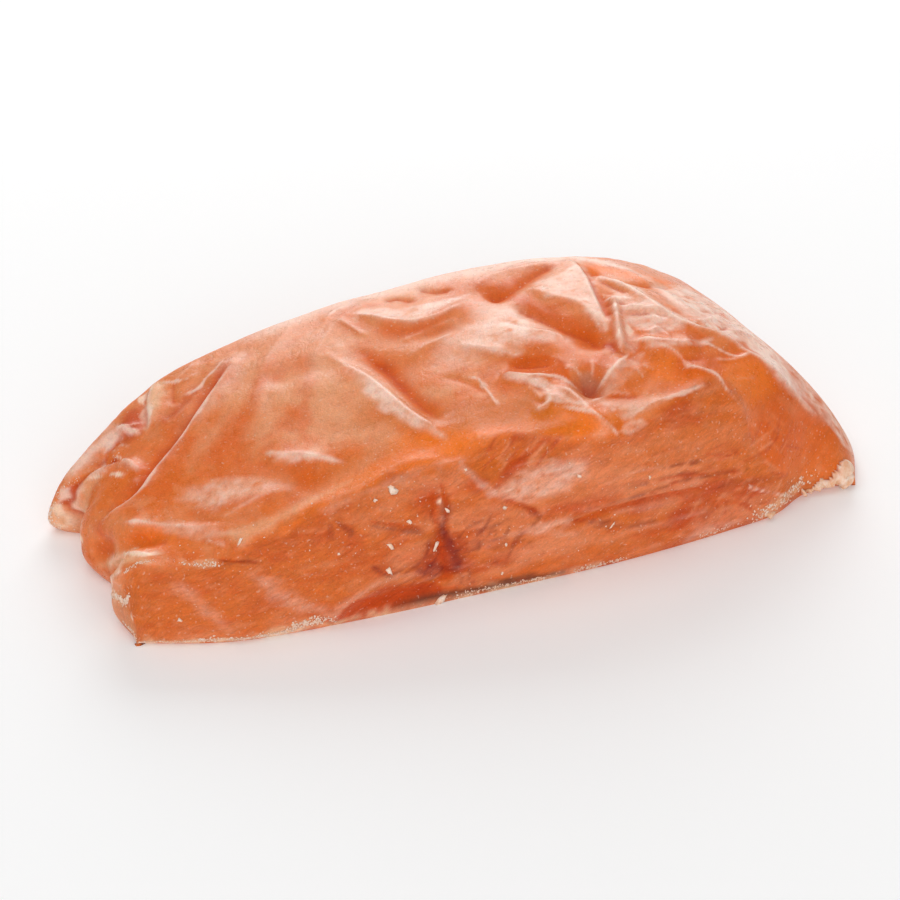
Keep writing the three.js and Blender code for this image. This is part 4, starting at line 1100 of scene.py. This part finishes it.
flesh, flesh_shader, start = new_shader("salmon flesh", {
    "Subsurface Weight": 0.25, "Subsurface Radius": (1.0, 0.35, 0.18), "Subsurface Scale": 0.0009,
    "Specular IOR Level": 0.24, "Coat Weight": 0.0,
})
colour = start.node("ShaderNodeAttribute", {"attribute_name": "paint"})
cut_term = start.node("ShaderNodeAttribute", {"attribute_name": "cut"}, output="Fac")
dull_term = start.node("ShaderNodeAttribute", {"attribute_name": "dull"}, output="Fac")
place = start.node("ShaderNodeTexCoord", output="Object")
skin_place = start.node("ShaderNodeUVMap", {"uv_map": "skin"})


def noise(place, scale, detail=3.0, rough=0.6, warp=0.0):
    """Soft noise from 0 to 1, in cells of 1 / scale."""
    inputs = {"Vector": place, "Scale": scale, "Detail": detail, "Roughness": rough, "Distortion": warp}
    return place.node("ShaderNodeTexNoise", {"noise_type": "FBM"}, inputs)


def stretched(place, turn, scales):
    """The place turned about its third axis and scaled, so that noise there is drawn out."""
    inputs = {"Vector": place, "Rotation": (0, 0, np.radians(turn))}
    turned = place.node("ShaderNodeMapping", {"vector_type": "TEXTURE"}, inputs)
    return place.node("ShaderNodeMapping", {}, {"Vector": turned, "Scale": scales})


# Noise of several sizes: the film's grain, specks, waves and fine wrinkles, and the muscle's fibres
film_term = 1.0 - cut_term
grain = noise(place, 3200.0, 2.0, 0.6)
specks = noise(place, 2300.0, 0.0, 0.5)
waves = noise(place, 620.0, 4.0, 0.65, 0.5)
wrinkles = noise(stretched(skin_place, 60, (18.0, 60.0, 1.0)), 1.0, 4.0, 0.6, 1.2)
fibres = noise(stretched(skin_place, 28, (34.0, 120.0, 1.0)), 1.0, 4.0, 0.7, 1.5)
# The paint's tone varies with them, and the rarest specks are pale
tone = 1.0 + (grain - 0.5) * 0.40 + (waves - 0.5) * 0.30
tone = tone + (fibres - 0.5) * 0.70 * cut_term + (wrinkles - 0.5) * 0.25 * film_term
speck_share = ((specks - 0.72) * 9.0).clamped() * 0.30
plug(flesh_shader, "Base Color", colour.scaled(tone).mixed(tint(start, 0.87, 0.66, 0.52), speck_share))
plug(flesh_shader, "Roughness", 0.30 + 0.12 * cut_term + 0.45 * dull_term + (waves - 0.5) * 0.35)
# Heights of the bumps, in millimetres
film_height = grain * 0.030 + waves * 0.08 + wrinkles * 0.11
muscle_height = grain * 0.050 + waves * 0.12 + fibres * 0.20
height = film_height * film_term + muscle_height * cut_term
bump_inputs = {"Strength": 1.0, "Distance": MM, "Height": height}
plug(flesh_shader, "Normal", start.node("ShaderNodeBump", {}, bump_inputs))
block_piece.data.materials.append(flesh)

# Crumbs of frost
# Specks and crusts of frost cling to the cut face and to the lower edges, where the portion was frozen
# and cut. Each one is a small lumpy grain; together they are one joined mesh.

# A grain's rings and sides, how far its radius varies, and how far its middle stands off the skin as a
# share of its height; and how far above the floor its lowest points stay
GRAIN_RINGS, GRAIN_SIDES, GRAIN_LUMP, GRAIN_OFF = 4, 7, 0.6, 0.25
FLOOR_GAP = 0.02

fields = (skin_point, skin_along, skin_around)
skin_slopes = [[np.gradient(field, axis=axis) for axis in (0, 1)] for field in fields]
skin_facing = np.cross(*skin_slopes[0])
skin_facing = skin_facing / np.maximum(np.linalg.norm(skin_facing, axis=-1, keepdims=True), 1e-9)


def on_skin(places):
    """Points of the skin at places, and the directions that it faces there: from the nearest grid point,
    one step along the grid's slopes, as the two slopes of along and around ask for."""
    pick = np.array([((skin_along - a) ** 2 + (skin_around - b) ** 2).argmin() for a, b in places])
    (point_i, point_j), (along_i, along_j), (around_i, around_j) = [
        [slope.reshape(skin_along.size, -1)[pick] for slope in pair] for pair in skin_slopes
    ]
    off_a = places[:, :1] - skin_along.reshape(-1, 1)[pick]
    off_b = places[:, 1:] - skin_around.reshape(-1, 1)[pick]
    scale = along_i * around_j - along_j * around_i
    scale = np.where(np.abs(scale) < 1e-6, 1e-6, scale)
    step_i = np.clip((off_a * around_j - off_b * along_j) / scale, -0.7, 0.7)
    step_j = np.clip((off_b * along_i - off_a * around_i) / scale, -0.7, 0.7)
    spots = skin_point.reshape(-1, 3)[pick] + point_i * step_i + point_j * step_j
    return spots, skin_facing.reshape(-1, 3)[pick]


def grains(places, sizes, seed):
    """Lumpy closed grains at places on the skin: a sphere of rings and sides whose radius varies by
    noise, scaled to (long, wide, high) and turned to lie on the skin."""
    draw = np.random.default_rng(seed)
    polar = np.linspace(0, np.pi, GRAIN_RINGS + 2)[1:-1, None]
    turn = np.arange(GRAIN_SIDES) * 2 * np.pi / GRAIN_SIDES
    flat_out = np.sin(polar)
    ring = np.stack([flat_out * np.cos(turn), flat_out * np.sin(turn), np.cos(polar) + 0 * turn], -1)
    unit = np.vstack([[0, 0, 1], ring.reshape(-1, 3), [0, 0, -1]])
    index = 1 + np.arange(GRAIN_RINGS * GRAIN_SIDES).reshape(GRAIN_RINGS, GRAIN_SIDES)
    beside = np.roll(index, -1, axis=1)
    side = np.stack([index[:-1], index[1:], beside[1:], beside[:-1]], -1).reshape(-1, 4)
    triangles = np.vstack([
        np.stack([np.zeros(GRAIN_SIDES, int), index[0], beside[0]], -1),
        side[:, [0, 1, 2]], side[:, [0, 2, 3]],
        np.stack([index[-1], np.full(GRAIN_SIDES, len(unit) - 1), beside[-1]], -1),
    ])
    points, faces = [], []
    for k, (at, normal, size) in enumerate(zip(*on_skin(np.array(places)), sizes)):
        across = np.cross(normal, [draw.uniform(-1, 1), draw.uniform(-1, 1), draw.uniform(-0.4, 0.4)])
        across = across / np.linalg.norm(across)
        axes = np.stack([across, np.cross(normal, across), normal])
        lump = 1 + GRAIN_LUMP * draw.uniform(-1, 1, (len(unit), 1))
        points.append(at + normal * size[2] * GRAIN_OFF + (unit * lump * size) @ axes)
        faces.append(triangles + k * len(unit))
    points = np.vstack(points)
    points[:, 2] = np.maximum(points[:, 2], FLOOR_GAP)
    return points, np.vstack(faces)


def strewn(line, count, spread, seed):
    """Places unevenly strewn along a line on the skin, off it by a normal draw."""
    draw = np.random.default_rng(seed)
    path = line_through(line)
    run = np.concatenate([[0], np.cumsum(np.linalg.norm(np.diff(path, axis=0), axis=1))])
    at = np.sort(draw.uniform(0, run[-1], count))
    off = draw.normal(0, spread, (count, 2))
    return np.stack([np.interp(at, run, path[:, 0]), np.interp(at, run, path[:, 1])], -1) + off


# single crumbs on the cut face: along, around and the grain's three half sizes
SINGLE_CRUMBS = (
    (53.5, 25.5, 0.8, 0.6, 0.2), (50.5, 24, 0.35, 0.25, 0.15), (55.5, 18.5, 0.4, 0.35, 0.2),
    (60, 12, 1.2, 0.35, 0.2), (52, 14.5, 0.65, 0.35, 0.2), (51.5, 9.5, 0.9, 0.45, 0.25),
    (62, 19, 0.45, 0.3, 0.2), (71.5, 17.5, 0.4, 0.3, 0.2), (43.5, 15, 0.25, 0.2, 0.15),
    (65.5, 26.5, 0.3, 0.2, 0.12), (71.5, 10, 0.3, 0.2, 0.15), (71, 4, 0.25, 0.2, 0.15),
    (17.5, 5.5, 0.45, 0.35, 0.15), (29, 20.5, 0.8, 0.25, 0.15), (97, 17, 0.35, 0.2, 0.12),
    (84.5, 20.5, 0.4, 0.3, 0.15), (60.4, 0.3, 1.6, 0.8, 0.3), (90.5, 9, 0.6, 0.2, 0.12),
)
# the shapes of a crust's crumbs and of loose ones, and how many are loose
CRUST_SHAPE, LOOSE_SHAPE, LOOSE_CRUMBS = np.array([1.2, 0.8, 0.4]), np.array([1.0, 0.8, 0.6]), 70
crumb_places = [(along, around) for along, around, *size in SINGLE_CRUMBS]
crumb_sizes = [np.array(size) for along, around, *size in SINGLE_CRUMBS]
draw = np.random.default_rng(7)
# crusts: line, how many crumbs, their spread off it and their mean half size
for line, count, spread, size in (
    (((5, 19.5), (6, 18), (6.5, 15), (8.5, 14)), 135, 0.35, 0.16),
    (((2, 16), (3, 9), (4, 3)), 60, 0.35, 0.12), (((11, 18), (14, 18.3), (16, 18.6)), 60, 0.22, 0.10),
    (((19, 18), (22, 17.3), (25, 17)), 70, 0.45, 0.10),
    (((6, 0.9), (14, 0.9), (22, 1.0)), 135, 0.22, 0.11),
    (((20, 1.1), (28, 1.1), (34, 1.3)), 225, 0.32, 0.13),
    (((34, 1.6), (38, 2.2), (42, 2.0)), 195, 0.5, 0.15),
    (((1, 45.5), (3, 46.5), (6, 47.5)), 120, 0.6, 0.11),
    (((7, 46.5), (9.5, 48), (12.5, 48)), 40, 0.3, 0.09),
    (((14, 47), (16, 47.5), (18, 50)), 25, 0.3, 0.09),
    (((63, 0.5), (68, 0.9), (74, 0.8), (79, 0.6)), 165, 0.3, 0.11),
    (((84, 0.9), (88, 0.8), (93, 0.6)), 120, 0.3, 0.12),
    (((106, 1), (112, 1.2), (116, 1.5)), 45, 0.4, 0.11), (((118, 2), (124, 3), (130, 4)), 180, 0.9, 0.15),
):
    crumb_places += strewn(line, count, spread, int(draw.integers(1 << 30))).tolist()
    crumb_sizes += [size * draw.uniform(0.5, 1.4) * CRUST_SHAPE for _ in range(count)]
loose = np.stack([draw.uniform(20, 118, LOOSE_CRUMBS), draw.uniform(1, 28, LOOSE_CRUMBS)], -1)
crumb_places += loose.tolist()
crumb_sizes += [draw.uniform(0.05, 0.14) * LOOSE_SHAPE for _ in range(LOOSE_CRUMBS)]
crumb_points, crumb_faces = grains(crumb_places, crumb_sizes, 5)
crumbs = mesh_piece("frost_crumbs", crumb_points, [crumb_faces], "frost")

frost, frost_shader, start = new_shader("frost", {
    "Subsurface Weight": 0.1, "Subsurface Radius": (1.0, 0.8, 0.6), "Subsurface Scale": 0.0004,
})
wet, white = tint(start, 0.95, 0.60, 0.42), tint(start, 0.98, 0.77, 0.64)
cloudy = noise(start.node("ShaderNodeTexCoord", output="Object"), 1300.0, 3.0)
plug(frost_shader, "Base Color", wet.mixed(white, ((cloudy - 0.40) * 5.0).clamped()))
plug(frost_shader, "Roughness", 0.3 + cloudy * 0.35)
crumbs.data.materials.append(frost)

# Torn flakes of the right toe
# Where the film and the fat under it end, at the low right toe, they were torn off the block as thin,
# pale flakes with ragged edges. They still lie on the flesh that they belong to.

# How thick the flakes are, how far they stand out past the toe, how deep their backs lie, and how far
# above the floor their lowest points stay
FLAKE_THICK, FLAKE_OUT, FLAKE_SUNK, FLAKE_GAP = 0.45, 1.2, 0.15, 0.01


def lifted(share):
    """Points and faces of flakes over the skin where share is above one half: those cells raised off the
    skin and pushed out, their own back just under it, and walls round their ragged edges."""
    keep = share > 0.5
    whole = keep[:-1, :-1] & keep[1:, :-1] & keep[1:, 1:] & keep[:-1, 1:]
    quads = grid_faces(*skin_along.shape)[whole.ravel()]
    outward = skin_facing * [1, 1, 0.35]
    rise = FLAKE_THICK * ease((share - 0.45) / 0.25)
    out = FLAKE_OUT * ease((share - 0.5) / 0.5)
    front = skin_point + skin_facing * rise[..., None] + outward * out[..., None]
    back = skin_point - skin_facing * FLAKE_SUNK
    used = np.unique(quads)
    count = len(used)
    index = np.full(skin_along.size, -1)
    index[used] = np.arange(count)
    top = index[quads]
    edges = np.concatenate([top[:, [k, (k + 1) % 4]] for k in range(4)])
    pairs = {tuple(edge) for edge in edges}
    start, stop = np.array([edge for edge in edges if (edge[1], edge[0]) not in pairs]).T
    walls = np.stack([stop, start, start + count, stop + count], -1)
    points = np.vstack([front.reshape(-1, 3)[used], back.reshape(-1, 3)[used]])
    points[:, 2] = np.maximum(points[:, 2], FLAKE_GAP)
    return points, [top, top[:, ::-1] + count, walls]


TOE_EDGE = ((119, 1), (125, 1.6), (131, 1.5), (136, 2))
ragged = 0.5 * layered_noise(skin_point, 1.6, 131, 4)
toe_share = blot((139, 4.0), 3.6, 3.4) + 0.5 * stroke(TOE_EDGE, 1.3, 0, (0.05, 0.05)) + ragged * 0.7
toe = mesh_piece("toe_flakes", *lifted(toe_share * ease((skin_along - 116) / 2)), "frost")

flake, flake_shader, start = new_shader("torn film", {
    "Subsurface Weight": 0.15, "Subsurface Radius": (1.0, 0.6, 0.35), "Subsurface Scale": 0.0005,
})
thin, thick = tint(start, 0.82, 0.42, 0.22), tint(start, 0.96, 0.74, 0.60)
mottle = noise(start.node("ShaderNodeTexCoord", output="Object"), 520.0, 4.0, 0.65, 0.8)
plug(flake_shader, "Base Color", thin.mixed(thick, ((mottle - 0.38) * 4.0).clamped()))
plug(flake_shader, "Roughness", 0.25 + mottle * 0.3)
bump_inputs = {"Strength": 1.0, "Distance": MM, "Height": mottle * 0.3}
plug(flake_shader, "Normal", start.node("ShaderNodeBump", {}, bump_inputs))
toe.data.materials.append(flake)

# Stage: floor, light and camera
# A plain pale floor. A large soft light stands above and behind the portion and makes the film's
# highlights, one fills from the front left and one from above, and the surroundings are plain white.

# The camera looks at a point on the floor under the block's middle, from the photograph's angle
TARGET = (np.array([68.15, 30.33, 0.0]) + SHIFT) * MM
CAMERA_TURN, CAMERA_RISE, CAMERA_AWAY = -22.0, 35.0, 0.4825
LENS_MM, SENSOR_MM = 110.0, 36.0
# Each light: its place in metres, its side and its power in watts
LIGHTS = {
    "light_behind": ((0.26, 0.62, 0.36), 0.55, 3.4),
    "light_front": ((-0.20, -0.75, 0.30), 0.7, 3.0),
    "light_above": ((-0.25, 0.0, 0.80), 0.7, 1.6),
}
LIGHT_AIM = Vector((0.0, 0.0, 0.012))
FLOOR_HALF = 2
WORLD_LIGHT = 0.38

floor_mesh = bpy.data.meshes.new("floor")
floor_corners = [(x * FLOOR_HALF, y * FLOOR_HALF, 0) for x, y in ((-1, -1), (1, -1), (1, 1), (-1, 1))]
floor_mesh.from_pydata(floor_corners, [], [(0, 1, 2, 3)])
floor = bpy.data.objects.new("floor", floor_mesh)
bpy.context.scene.collection.objects.link(floor)
floor_paint, floor_shader, start = new_shader("floor", {
    "Base Color": (0.92, 0.92, 0.92, 1.0), "Roughness": 0.9,
    "Emission Color": (1.0, 1.0, 1.0, 1.0), "Emission Strength": 0.10,
})
floor_mesh.materials.append(floor_paint)

world = bpy.data.worlds.new("studio")
world.use_nodes = True
background = world.node_tree.nodes["Background"]
background.inputs["Color"].default_value = (1.0, 1.0, 1.0, 1.0)
background.inputs["Strength"].default_value = WORLD_LIGHT
bpy.context.scene.world = world


def soft_light(name, where, side, power):
    """A square area light at a place in metres, aimed at the portion."""
    light = bpy.data.lights.new(name, "AREA")
    light.shape = "SQUARE"
    light.size = side
    light.energy = power
    lamp = bpy.data.objects.new(name, light)
    lamp.location = where
    lamp.rotation_euler = (LIGHT_AIM - Vector(where)).to_track_quat("-Z", "Y").to_euler()
    bpy.context.scene.collection.objects.link(lamp)


for name, (where, side, power) in LIGHTS.items():
    soft_light(name, where, side, power)

turn, rise = np.radians(CAMERA_TURN), np.radians(CAMERA_RISE)
back = np.array([np.sin(turn) * np.cos(rise), -np.cos(turn) * np.cos(rise), np.sin(rise)])
lens = bpy.data.cameras.new("camera")
lens.lens = LENS_MM
lens.sensor_width = SENSOR_MM
camera = bpy.data.objects.new("camera", lens)
camera.location = Vector(TARGET + back * CAMERA_AWAY)
camera.rotation_euler = Vector(-back).to_track_quat("-Z", "Y").to_euler()
bpy.context.scene.collection.objects.link(camera)
bpy.context.scene.camera = camera
bpy.context.scene.view_settings.view_transform = "Standard"
